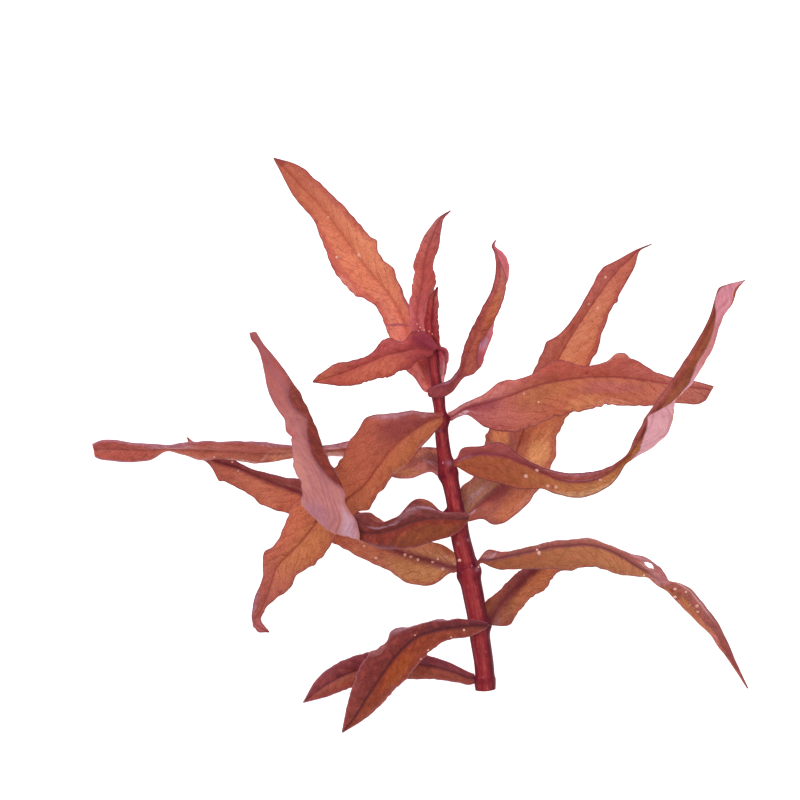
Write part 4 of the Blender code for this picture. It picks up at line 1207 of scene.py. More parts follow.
@dataclass
class GasBeads:
    """Small beads of gas that cling to the leaves: x, y and radius of each."""

    beads: tuple[tuple[float, float, float], ...]
    finish: BeadFinish = BeadFinish()
    flattening: float = 0.8
    stretch: tuple[float, float] = (0.9, 1.12)
    stand_off: float = 0.45
    seed: int = 4

    # How high above the surface the search for leaves begins, and sockets of the random value node
    SEARCH_HEIGHT = 100.0
    LEAST, MOST, VALUE = 2, 3, 1

    def tree(self) -> GrowthTree:
        """The tree that puts a slightly flattened ball on each point.

        Returns:
            The tree.
        """
        tree = GrowthTree("bead_growth", {"Flattening": self.flattening}, {"Seed": self.seed})
        ball = tree.node("GeometryNodeMeshIcoSphere", {}, {"Radius": 1.0, "Subdivisions": 3})
        values = {self.LEAST: self.stretch[0], self.MOST: self.stretch[1], "Seed": tree.given("Seed")}
        stretch = tree.node("FunctionNodeRandomValue", {"data_type": "FLOAT"}, values, self.VALUE)
        size = tree.named("girth")
        scale = tree.join(size * stretch, size / stretch, size * tree.given("Flattening"))
        values = {"Points": tree.given("Geometry"), "Instance": ball, "Scale": scale}
        tree.close(tree.node("GeometryNodeInstanceOnPoints", {}, values))
        return tree

    def seedling(self, carriers: list[bpy.types.Object]) -> bpy.types.Mesh:
        """A point for each bead, on whatever lies uppermost there.

        Args:
            carriers: the pieces that beads may cling to.

        Returns:
            A mesh of points that carries the beads' radii.
        """
        graph = bpy.context.evaluated_depsgraph_get()
        trees = [BVHTree.FromObject(piece, graph) for piece in carriers]
        places, sizes = [], []
        for x, y, radius in self.beads:
            above = Vector((x * MM, y * MM, self.SEARCH_HEIGHT * MM))
            hits = [tree.ray_cast(above, Vector((0.0, 0.0, -1.0))) for tree in trees]
            found = [(hit[0], hit[1]) for hit in hits if hit[0] is not None]
            if not found:
                log.warning("no leaf under the bead at %.1f, %.1f", x, y)
                continue
            place, normal = max(found, key=lambda hit: hit[0].z)
            places.append(tuple(place + normal * radius * self.stand_off * MM))
            sizes.append(radius * MM)
        mesh = bpy.data.meshes.new("bead_points")
        mesh.from_pydata(places, [], [])
        write_values(mesh, "girth", np.array(sizes))
        return mesh

    def dress(self) -> bpy.types.Material:
        """Pale gas with brighter spots of painted highlight.

        Returns:
            The material.
        """
        paint = Paint("gas_bead")
        spot = paint.noise(paint.object_place(), self.finish.spots, 2.0)
        # Painted highlight: brighter spots of this colour scattered over each bead
        colour = paint.mix(self.finish.body, self.finish.glint, spot.step(0.35, 0.65))
        return paint.set(Base_Color=colour, Roughness=self.finish.roughness, Specular_IOR_Level=0.15)

    def build(self, carriers: list[bpy.types.Object]) -> bpy.types.Object:
        """The finished beads, all in one piece.

        Args:
            carriers: the pieces that beads may cling to.

        Returns:
            The piece.
        """
        skin = self.dress()
        mesh = self.tree().grow("gas_beads", self.seedling(carriers), skin)
        piece = finish_piece("gas_beads", mesh, skin)
        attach(piece, BODY)
        log.info("%s: %d faces", piece.name, len(mesh.polygons))
        return piece


@dataclass
class Studio:
    """The pale floor, the soft lights and the camera that looks straight down."""

    lens: float = 1000.0
    sensor: float = 36.0
    floor_half_width: float = 4000.0
    floor_drop: float = 0.06
    floor: FloorFinish = FloorFinish()
    sky: Colour = (255, 255, 255)
    sky_strength: float = 0.5
    lamps: tuple[Lamp, ...] = (
        Lamp("key_light", (-0.35, 0.40, 0.75), 0.6, 4.3),
        Lamp("fill_light", (0.55, -0.25, 0.60), 0.5, 1.3),
    )

    def build_floor(self) -> None:
        """The pale floor just below the plant."""
        reach, height = self.floor_half_width * MM, -self.floor_drop * MM
        corners = [(x * reach, y * reach, height) for x, y in ((-1, -1), (1, -1), (1, 1), (-1, 1))]
        mesh = bpy.data.meshes.new("floor")
        mesh.from_pydata(corners, [], [(0, 1, 2, 3)])
        paint = Paint("pale_floor")
        cloud = paint.noise(paint.object_place(), self.floor.clouds, 3.0)
        colour = paint.mix(self.floor.tone, self.floor.cloud, cloud)
        material = paint.set(
            Base_Color=colour,
            Roughness=self.floor.roughness,
            Emission_Color=linear(self.floor.tone),
            Emission_Strength=self.floor.glow,
            Specular_IOR_Level=0.1,
        )
        finish_piece("floor", mesh, material)

    def build_lights(self) -> None:
        """An even sky with one large soft light up left and a weaker one at the right."""
        world = bpy.data.worlds.new("soft_sky")
        bpy.context.scene.world = world
        world.use_nodes = True
        background = world.node_tree.nodes["Background"]
        background.inputs["Color"].default_value = linear(self.sky)
        background.inputs["Strength"].default_value = self.sky_strength
        for lamp in self.lamps:
            data = bpy.data.lights.new(lamp.name, "AREA")
            data.shape = "SQUARE"
            data.size = lamp.width
            data.energy = lamp.power
            light = bpy.data.objects.new(lamp.name, data)
            light.location = lamp.place
            light.rotation_euler = (-Vector(lamp.place)).to_track_quat("-Z", "Y").to_euler()
            bpy.context.scene.collection.objects.link(light)

    def build_camera(self) -> None:
        """A camera far above that sees the photograph's frame."""
        data = bpy.data.cameras.new("camera")
        data.lens = self.lens
        data.sensor_width = self.sensor
        distance = PHOTO_WIDTH * MM_PER_PIXEL * self.lens / self.sensor
        data.clip_end = 2 * distance * MM
        camera = bpy.data.objects.new("camera", data)
        camera.location = (PHOTO_MIDDLE[0] * MM, PHOTO_MIDDLE[1] * MM, (SCALE_HEIGHT + distance) * MM)
        bpy.context.scene.collection.objects.link(camera)
        bpy.context.scene.camera = camera

    def build(self) -> None:
        """All of the studio."""
        bpy.context.scene.view_settings.view_transform = "Standard"
        self.build_floor()
        self.build_lights()
        self.build_camera()


STEM = Stem(
    line=(
        (13.1, -49.0, 1.85, 1.95),
        (12.8, -44.0, 2.75, 1.92),
        (12.05, -39.0, 3.9, 1.98),
        (11.6, -35.4, 4.7, 1.95),
        (10.45, -29.0, 6.1, 2.08),
        (9.35, -23.5, 7.4, 1.95),
        (8.2, -19.0, 8.5, 1.9),
        (7.55, -15.0, 9.4, 1.75),
        (6.8, -11.0, 10.1, 1.62),
        (6.0, -7.0, 10.7, 1.66),
        (5.0, -2.5, 11.3, 1.4),
        (4.45, 1.0, 11.7, 1.36),
        (4.05, 6.0, 12.2, 1.18),
        (3.6, 10.0, 12.6, 1.16),
        (2.9, 15.0, 13.1, 1.02),
        (2.45, 18.6, 13.4, 0.95),
        (2.15, 20.3, 13.6, 0.72),
        (2.05, 21.0, 13.7, 0.35),
    ),
    nodes=(-47.0, -35.4, -23.8, -14.2, -3.4, 5.8, 10.4, 18.6),
    knuckles=(
        ((5.6, 5.0, 12.4), 1.1, 0.55),
        ((6.9, -5.4, 11.4), 1.2, 0.45),
        ((4.2, -6.2, 10.8), 1.2, 0.6),
        ((5.5, -13.2, 9.8), 0.5, 0.9),
        ((11.4, -25.2, 7.2), 1.3, 0.55),
        ((8.0, -26.4, 7.0), 1.3, 0.5),
        ((13.8, -36.2, 4.6), 1.1, 0.5),
    ),
    marks=(
        Mark((4.6, 2.9, 12.8), (1.7, 0.45, 3.0)),
        Mark((3.8, 2.9, 12.8), (0.4, 0.35, 3.0), pale=True),
        Mark((5.9, -3.6, 12.6), (0.7, 0.55, 2.0), pale=True),
        Mark((6.0, -5.2, 12.2), (0.8, 0.6, 2.0)),
        Mark((4.4, -6.2, 11.8), (0.5, 1.1, 2.0)),
        Mark((8.9, -13.8, 11.0), (0.8, 0.35, 2.0), pale=True),
        Mark((7.6, -19.7, 10.2), (0.3, 0.4, 2.0), pale=True),
        Mark((9.6, -19.0, 10.2), (0.3, 0.3, 2.0), pale=True),
        Mark((10.9, -24.2, 8.6), (0.45, 0.8, 2.0)),
        Mark((11.4, -24.9, 8.6), (0.45, 0.4, 2.0), pale=True),
        Mark((11.0, -26.6, 8.2), (0.4, 0.6, 2.0)),
        Mark((7.9, -25.8, 8.2), (0.45, 1.0, 2.0)),
    ),
)

LEAF_1_FRONT = Blade(
    "leaf_1_front",
    "young_leaf",
    BladeFinish(
        left=Tones((212, 100, 108), (190, 90, 79), (181, 112, 108)),
        right=Tones((222, 108, 117), (186, 80, 72), (191, 114, 110)),
        under=Tones((186, 84, 86), (196, 98, 88), (186, 84, 76)),
        midrib=(150, 55, 55),
        vein=(150, 52, 52),
        under_vein=(158, 62, 66),
        patches=(
            Patch((212, 134, 130), 0.1, 0.2, (0.12, 0.5), 0.65, Face.UNDER),
            Patch((206, 120, 112), 0.35, -0.1, (0.22, 0.35), 0.5, Face.UNDER),
            Patch((160, 58, 62), 0.45, 0.95, (0.5, 0.4), 0.5, Face.UNDER),
        ),
    ),
    (
        (0.0, 21.0, 14.3, 0.9, 21.2, 14.7, 1.7, 21.6, 14.6),
        (-1.8, 24.0, 15.0, -0.4, 24.4, 15.9, 0.9, 24.2, 15.2),
        (-2.1, 28.6, 15.6, -0.3, 28.6, 16.8, 1.6, 28.6, 15.9),
        (-1.5, 32.2, 16.0, 0.5, 32.4, 17.1, 3.1, 32.6, 16.2),
        (-1.2, 36.2, 16.2, 0.9, 36.2, 17.2, 2.7, 35.9, 16.6),
        (0.2, 40.4, 16.7, 2.0, 40.4, 17.4, 3.9, 40.3, 17.0),
        (2.1, 43.6, 17.3, 3.3, 43.4, 17.8, 4.3, 43.2, 17.6),
        (3.8, 45.7, 18.0, 4.4, 45.5, 18.2, 4.8, 45.2, 18.2),
        (6.1, 46.8, 18.6),
    ),
    waves=4.5,
    wave_height=0.3,
    vein_spacing=2.2,
    left_lobes=(
        Lobe(0.35, 0.03, -0.5), Lobe(0.425, 0.015, 0.4), Lobe(0.51, 0.025, -0.35),
        Lobe(0.94, 0.03, -0.3),
    ),
    right_lobes=(Lobe(0.365, 0.02, 0.45),),
    seed=11,
)

LEAF_1_BACK = Blade(
    "leaf_1_back",
    "young_leaf",
    BladeFinish(
        left=Tones((176, 54, 62), (206, 70, 72), (220, 112, 98)),
        right=Tones((180, 62, 66), (174, 70, 70), (222, 130, 120)),
        under=Tones((180, 80, 84), (186, 88, 86), (180, 78, 74)),
        midrib=(128, 36, 46),
        vein=(132, 36, 44),
    ),
    (
        (1.6, 20.0, 11.7, 2.8, 19.8, 12.2, 4.15, 19.3, 12.0),
        (0.9, 22.4, 12.8, 2.5, 22.4, 12.6, 3.8, 22.4, 13.2),
        (0.7, 25.4, 13.5, 2.3, 25.4, 13.1, 3.6, 25.4, 13.8),
        (1.2, 28.2, 13.9, 2.6, 28.2, 13.6, 3.9, 28.2, 14.2),
        (2.0, 29.8, 14.0, 2.8, 29.8, 13.9, 3.6, 29.8, 14.2),
        (3.5, 31.6, 14.2),
    ),
    waves=2.5,
    wave_height=0.2,
    vein_spacing=2.0,
    right_lobes=(Lobe(0.15, 0.05, -0.35), Lobe(0.38, 0.06, 0.3), Lobe(0.63, 0.06, -0.35)),
    seed=12,
)

LEAF_2_LEFT = Blade(
    "leaf_2_left",
    "young_leaf",
    BladeFinish(
        left=Tones((151, 48, 61), (191, 89, 71), (188, 91, 72)),
        right=Tones((152, 40, 55), (192, 87, 85), (197, 110, 86)),
        under=Tones((196, 110, 112), (198, 112, 110), (190, 98, 90)),
        midrib=(142, 50, 48),
        vein=(160, 62, 54),
        midrib_width=0.5,
        patches=(
            Patch((134, 38, 66), 0.09, 0.6, (0.16, 0.8)),
            Patch((204, 106, 80), 0.5, -0.55, (0.3, 0.5), 0.6),
        ),
    ),
    (
        (2.3, 17.8, 15.0, 2.7, 18.8, 15.1, 3.4, 19.7, 15.2),
        (0.0, 17.2, 15.3, 0.9, 19.2, 15.5, 1.5, 22.2, 16.2),
        (-2.2, 15.2, 15.4, -1.4, 19.2, 15.7, -1.5, 22.7, 16.7),
        (-4.0, 14.8, 15.4, -3.6, 18.6, 15.6, -3.6, 20.7, 16.3),
        (-5.8, 13.7, 15.2, -6.2, 18.2, 15.2, -6.2, 21.3, 16.0),
        (-8.8, 13.2, 14.8, -9.2, 17.0, 14.6, -9.4, 18.7, 15.4),
        (-12.6, 12.0, 14.2, -13.0, 15.4, 13.8, -13.4, 16.9, 14.8),
        (-16.0, 11.8, 13.2, -16.4, 14.1, 12.8, -16.8, 16.4, 13.8),
        (-18.6, 12.1, 12.4, -19.2, 13.3, 12.1, -19.4, 14.5, 12.7),
        (-21.4, 12.6, 11.6),
    ),
    wave_height=0.25,
    vein_spacing=2.6,
    right_lobes=(Lobe(0.45, 0.05, 0.5), Lobe(0.585, 0.03, -0.3), Lobe(0.95, 0.04, 0.4)),
    seed=21,
)

LEAF_2_RIGHT = Blade(
    "leaf_2_right",
    "young_leaf",
    BladeFinish(
        left=Tones((172, 61, 79), (198, 100, 112), (206, 116, 112)),
        right=Tones((180, 50, 70), (228, 146, 150), (214, 132, 118)),
        under=Tones((150, 44, 60), (186, 92, 96), (190, 100, 96)),
        midrib=(130, 36, 50),
        vein=(140, 44, 56),
    ),
    (
        (3.7, 19.7, 13.9, 4.1, 19.0, 13.6, 3.6, 17.6, 13.2),
        (4.6, 19.6, 13.8, 4.5, 18.6, 13.6, 3.5, 16.4, 12.9),
        (5.4, 19.0, 12.8, 4.9, 17.6, 12.6, 3.3, 14.6, 12.0),
        (5.4, 17.9, 11.0, 4.8, 16.0, 10.8, 3.5, 12.9, 10.6),
        (5.1, 15.8, 9.2, 4.6, 14.2, 8.8, 3.8, 12.3, 8.8),
        (4.6, 12.4, 6.8),
    ),
    waves=2.0,
    wave_height=0.15,
    vein_spacing=2.0,
    seed=22,
)

LEAF_3_LEFT = Blade(
    "leaf_3_left",
    "young_leaf",
    BladeFinish(
        left=Tones((255, 146, 140), (232, 134, 98), (195, 109, 80)),
        right=Tones((194, 84, 90), (227, 138, 101), (186, 101, 78)),
        under=Tones((205, 130, 125), (208, 135, 125), (195, 110, 100)),
        midrib=(176, 80, 62),
        vein=(172, 74, 60),
        midrib_strength=0.42,
        line_strength=0.35,
        patches=(
            Patch((216, 126, 100), 0.3, -0.6, (0.16, 0.4), 0.55),
            Patch((160, 72, 100), 0.29, 1.0, (0.1, 0.28), 0.7),
            Patch((188, 74, 78), 0.52, -0.9, (0.3, 0.35), 0.55),
            Patch((184, 76, 72), 0.72, 0.95, (0.24, 0.35), 0.5),
            Patch((128, 48, 58), 1.0, 0.2, (0.06, 1.4), 0.85),
            Patch((150, 72, 100), 0.25, -0.3, (0.007, 0.95), 0.7, slant=-0.041),
            Patch((236, 154, 134), 0.5, -0.95, (0.06, 0.2), 0.6),
        ),
    ),
    (
        (1.5, 10.5, 10.8, 2.3, 11.3, 10.7, 3.1, 12.2, 10.9),
        (-1.4, 14.0, 10.1, 0.4, 15.4, 10.2, 2.3, 16.6, 10.4),
        (-4.6, 18.0, 9.0, -1.8, 20.0, 9.2, 0.9, 21.4, 9.8),
        (-6.5, 22.4, 7.6, -3.2, 24.6, 7.9, -1.2, 26.4, 8.9),
        (-8.7, 27.6, 5.5, -5.9, 29.8, 6.2, -3.8, 31.6, 7.3),
        (-14.6, 31.6, 2.9, -10.4, 35.2, 3.9, -7.6, 37.6, 5.0),
        (-18.8, 39.6, 1.2, -15.6, 42.2, 1.8, -12.4, 44.6, 2.7),
        (-22.7, 46.4, 0.35, -20.2, 48.2, 0.55, -17.7, 50.3, 1.1),
        (-25.7, 50.4, 0.25, -23.8, 51.9, 0.2, -21.8, 53.6, 0.4),
        (-28.0, 54.8, 0.2, -27.2, 55.6, 0.2, -25.6, 56.5, 0.25),
        (-29.3, 57.5, 0.35),
    ),
    vein_spacing=3.4,
    vein_lean=1.9,
    left_lobes=(
        Lobe(0.11, 0.025, 0.45), Lobe(0.448, 0.02, 0.6), Lobe(0.55, 0.015, 0.45),
        Lobe(0.6, 0.045, 0.65), Lobe(0.75, 0.035, -0.45),
    ),
    right_lobes=(
        Lobe(0.33, 0.025, -0.5), Lobe(0.437, 0.024, 0.75), Lobe(0.55, 0.026, 0.95),
        Lobe(0.83, 0.015, 0.25), Lobe(0.895, 0.04, 0.45),
    ),
    seed=31,
)

LEAF_3_RIGHT = Blade(
    "leaf_3_right",
    "shaded_leaf",
    BladeFinish(
        left=Tones((133, 47, 64), (190, 92, 80), (214, 110, 112)),
        right=Tones((133, 54, 64), (200, 103, 80), (216, 145, 130)),
        under=Tones((150, 62, 68), (206, 104, 112), (214, 108, 116)),
        midrib=(118, 44, 48),
        vein=(140, 56, 48),
        midrib_strength=0.12,
        line_strength=0.15,
        patches=(
            Patch((176, 66, 78), 0.35, 0.8, (0.06, 0.5), 0.7, Face.UNDER),
            # Painted sheen: a lilac patch on the under face
            Patch((198, 134, 160), 0.44, 0.92, (0.05, 0.25), 0.75, Face.UNDER),
            Patch((186, 72, 80), 0.76, 0.65, (0.05, 0.3), 0.6, Face.UNDER),
            Patch((150, 56, 56), 0.55, -0.9, (0.3, 0.4), 0.5),
            # Painted sheen: a lilac patch near the base
            Patch((170, 132, 160), 0.14, -0.9, (0.1, 0.4), 0.6),
            Patch((178, 98, 52), 0.62, 0.4, (0.16, 0.5), 0.6),
        ),
    ),
    (
        (1.3, 10.9, 13.9, 1.7, 10.6, 14.3, 1.7, 10.2, 14.35, 1.8, 9.8, 14.15),
        (4.0, 12.3, 14.75, 4.2, 11.2, 14.6, 4.3, 10.3, 14.5, 4.4, 9.5, 14.3),
        (6.0, 13.0, 15.0, 6.3, 12.0, 14.6, 6.4, 11.3, 14.4, 6.4, 10.6, 14.3),
        (7.6, 14.8, 15.6, 8.1, 14.0, 14.8, 8.4, 13.7, 14.6, 8.7, 13.4, 14.6),
        (8.3, 17.6, 16.0, 9.3, 17.0, 15.2, 11.9, 15.7, 14.9, 11.2, 14.5, 15.4),
        (9.2, 20.8, 16.4, 10.5, 20.3, 15.6, 13.2, 18.6, 15.2, 11.5, 19.0, 16.7),
        (10.5, 23.8, 16.8, 12.0, 23.6, 16.1, 14.4, 21.8, 15.8, 12.8, 21.8, 17.2),
        (12.4, 27.4, 17.2, 13.6, 27.2, 16.7, 14.8, 26.4, 16.6, 15.7, 26.4, 17.2),
        (14.1, 30.6, 17.5, 15.1, 30.4, 17.1, 16.1, 30.2, 17.1, 16.9, 30.0, 17.7),
        (14.9, 33.6, 17.7, 16.0, 33.4, 17.5, 17.6, 33.4, 18.0, 17.0, 33.6, 19.0),
        (15.1, 36.2, 18.0, 16.0, 36.2, 18.1, 17.7, 36.0, 18.8, 15.9, 36.4, 19.6),
        (14.8, 38.4, 18.6, 15.5, 38.4, 18.7, 16.7, 38.3, 19.2, 15.1, 38.6, 19.8),
        (14.3, 39.9, 19.2, 14.5, 39.9, 19.2, 14.9, 39.8, 19.4, 14.6, 39.9, 19.7),
        (15.1, 40.9, 19.6),
    ),
    places=(-1.0, 0.0, 0.6, 1.0),
    waves=3.0,
    wave_height=0.12,
    bulge=0.015,
    vein_spacing=2.4,
    left_lobes=(Lobe(0.19, 0.04, 0.4),),
    seed=32,
)

LEAF_4_LEFT = Blade(
    "leaf_4_left",
    "old_leaf",
    BladeFinish(
        left=Tones((182, 100, 63), (206, 119, 83), (176, 97, 85)),
        right=Tones((157, 73, 66), (212, 116, 83), (164, 87, 81)),
        under=Tones((205, 140, 130), (205, 135, 120), (195, 115, 110)),
        midrib=(146, 58, 48),
        vein=(150, 62, 46),
        midrib_width=0.8,
        patches=(
            # Painted highlight: a lilac band along the margin by the stem
            Patch((190, 140, 158), 0.12, 1.0, (0.09, 0.3), 0.75),
            Patch((140, 56, 62), 0.14, 0.4, (0.1, 0.5), 0.6),
            Patch((190, 108, 66), 0.2, -0.6, (0.14, 0.4), 0.4),
            Patch((202, 122, 72), 0.66, -0.3, (0.16, 0.8), 0.6),
            Patch((190, 104, 112), 0.98, 0.0, (0.04, 1.3), 0.7),
            # Painted sheen: a lilac patch at the margin near the tip
            Patch((166, 128, 146), 0.9, 0.9, (0.05, 0.4), 0.7),
            Patch((132, 52, 52), 0.925, -0.3, (0.03, 0.7), 0.6),
            Patch((200, 138, 130), 0.11, -0.95, (0.04, 0.2), 0.6),
            Patch((218, 146, 116), 0.24, -0.95, (0.05, 0.2), 0.6),
            Patch((176, 120, 130), 0.06, 0.7, (0.03, 0.3), 0.6),
        ),
    ),
    (
        (4.5, 4.7, 14.0, 4.4, 5.6, 14.0, 4.5, 6.4, 13.9),
        (2.8, 2.4, 14.2, 2.0, 4.8, 14.4, 1.2, 6.5, 14.6),
        (0.0, -0.8, 13.4, -2.0, 2.4, 13.8, -4.8, 6.4, 14.6),
        (-2.6, -4.2, 11.7, -5.6, -0.6, 12.4, -10.6, 5.2, 13.4),
        (-5.4, -6.2, 9.8, -8.4, -4.2, 10.4, -14.0, 0.1, 11.6),
        (-8.6, -10.8, 7.6, -11.2, -8.0, 8.3, -16.9, -4.3, 9.4),
        (-12.6, -13.6, 5.8, -15.6, -11.4, 6.4, -20.4, -8.0, 7.6),
        (-16.3, -17.6, 4.0, -20.4, -15.0, 4.9, -25.4, -11.8, 5.9),
        (-18.8, -21.8, 3.0, -23.0, -18.4, 3.5, -26.8, -15.2, 4.3),
        (-22.2, -24.2, 2.2, -26.0, -21.6, 2.5, -28.8, -19.6, 3.0),
        (-24.9, -27.4, 1.5, -28.6, -24.4, 1.6, -31.3, -22.4, 1.9),
        (-28.0, -30.6, 1.0, -30.2, -28.8, 0.9, -31.9, -27.4, 1.0),
        (-30.8, -32.6, 0.8, -31.8, -33.0, 0.5, -33.4, -32.0, 0.5),
        (-31.9, -35.0, 0.7, -33.3, -35.6, 0.3, -32.8, -36.9, 0.4),
        (-30.2, -37.5, 1.2),
    ),
    wave_height=0.3,
    vein_spacing=4.0,
    vein_lean=1.9,
    left_lobes=(
        Lobe(0.362, 0.024, -0.65), Lobe(0.42, 0.022, 0.8), Lobe(0.612, 0.02, -0.4),
        Lobe(0.688, 0.018, 0.6), Lobe(0.745, 0.022, -0.65), Lobe(0.84, 0.022, -0.4),
        Lobe(0.925, 0.015, 0.5),
    ),
    right_lobes=(
        Lobe(0.085, 0.02, 0.5), Lobe(0.2, 0.017, 0.5), Lobe(0.27, 0.022, 0.45),
        Lobe(0.74, 0.018, 0.5), Lobe(0.81, 0.025, -0.35), Lobe(0.94, 0.025, 0.7),
    ),
    seed=41,
)

LEAF_4_RIGHT = Blade(
    "leaf_4_right",
    "young_leaf",
    BladeFinish(
        left=Tones((216, 134, 130), (183, 86, 70), (201, 121, 110)),
        right=Tones((196, 109, 110), (201, 113, 79), (190, 116, 99)),
        under=Tones((205, 130, 130), (205, 132, 120), (195, 115, 105)),
        midrib=(140, 50, 54),
        vein=(150, 58, 50),
        midrib_width=0.7,
        patches=(
            Patch((170, 84, 60), 0.34, 0.0, (0.16, 0.7), 0.4),
            Patch((142, 52, 72), 0.1, 0.0, (0.12, 0.5), 0.75),
            # Painted highlight: a thin slanted lilac streak near the base
            Patch((208, 166, 186), 0.02, 0.25, (0.016, 0.32), 0.75, slant=0.155),
            # Painted highlight: lilac near the base at the left margin
            Patch((200, 150, 172), 0.05, -0.75, (0.05, 0.2), 0.5),
            Patch((224, 142, 96), 0.52, 0.85, (0.1, 0.35)),
            Patch((186, 118, 66), 0.36, 0.25, (0.14, 0.4), 0.35),
            Patch((186, 100, 110), 0.62, 0.35, (0.16, 0.3), 0.4),
            # Painted highlight: a pale lilac patch near the base
            Patch((238, 188, 200), 0.05, 0.5, (0.035, 0.55), 0.75),
            Patch((236, 154, 122), 0.62, 0.95, (0.12, 0.25), 0.7),
            Patch((216, 136, 118), 0.63, -0.95, (0.08, 0.2), 0.6),
        ),
    ),
    (
        (6.25, 6.8, 12.3, 6.3, 5.8, 12.0, 6.3, 4.6, 11.7),
        (8.8, 8.4, 12.8, 9.2, 7.3, 12.5, 9.2, 6.0, 12.0),
        (12.4, 10.0, 12.6, 13.0, 8.3, 12.3, 13.0, 3.6, 11.0),
        (16.2, 12.7, 12.1, 17.6, 9.8, 11.9, 18.6, 2.7, 10.1),
        (22.0, 14.0, 11.5, 23.0, 11.8, 11.3, 24.6, 4.6, 9.6),
        (27.4, 17.0, 10.9, 28.4, 13.0, 10.5, 30.0, 6.6, 9.2),
        (33.6, 15.8, 10.0, 34.0, 13.6, 9.7, 35.0, 7.4, 8.8),
        (39.9, 18.5, 9.6, 39.4, 13.6, 9.0, 39.2, 8.1, 8.2),
        (45.0, 16.0, 8.8, 45.0, 13.0, 8.2, 45.0, 7.8, 7.6),
        (50.8, 13.4, 8.2, 51.0, 12.0, 7.6, 51.4, 8.4, 7.2),
        (56.0, 12.6, 7.7, 56.0, 11.4, 7.2, 55.8, 8.2, 6.9),
        (58.8, 11.8, 7.5, 58.4, 11.0, 7.1, 57.2, 8.9, 6.9),
    ),
    waves=4.5,
    vein_spacing=3.6,
    vein_lean=1.7,
    left_lobes=(
        Lobe(0.28, 0.022, -0.45), Lobe(0.61, 0.028, -0.75), Lobe(0.695, 0.014, -0.55),
        Lobe(0.8, 0.025, -0.35),
    ),
    right_lobes=(
        Lobe(0.03, 0.02, -0.6), Lobe(0.5, 0.06, 0.25), Lobe(0.6, 0.018, -0.5),
        Lobe(0.675, 0.03, 0.25),
    ),
    seed=42,
)

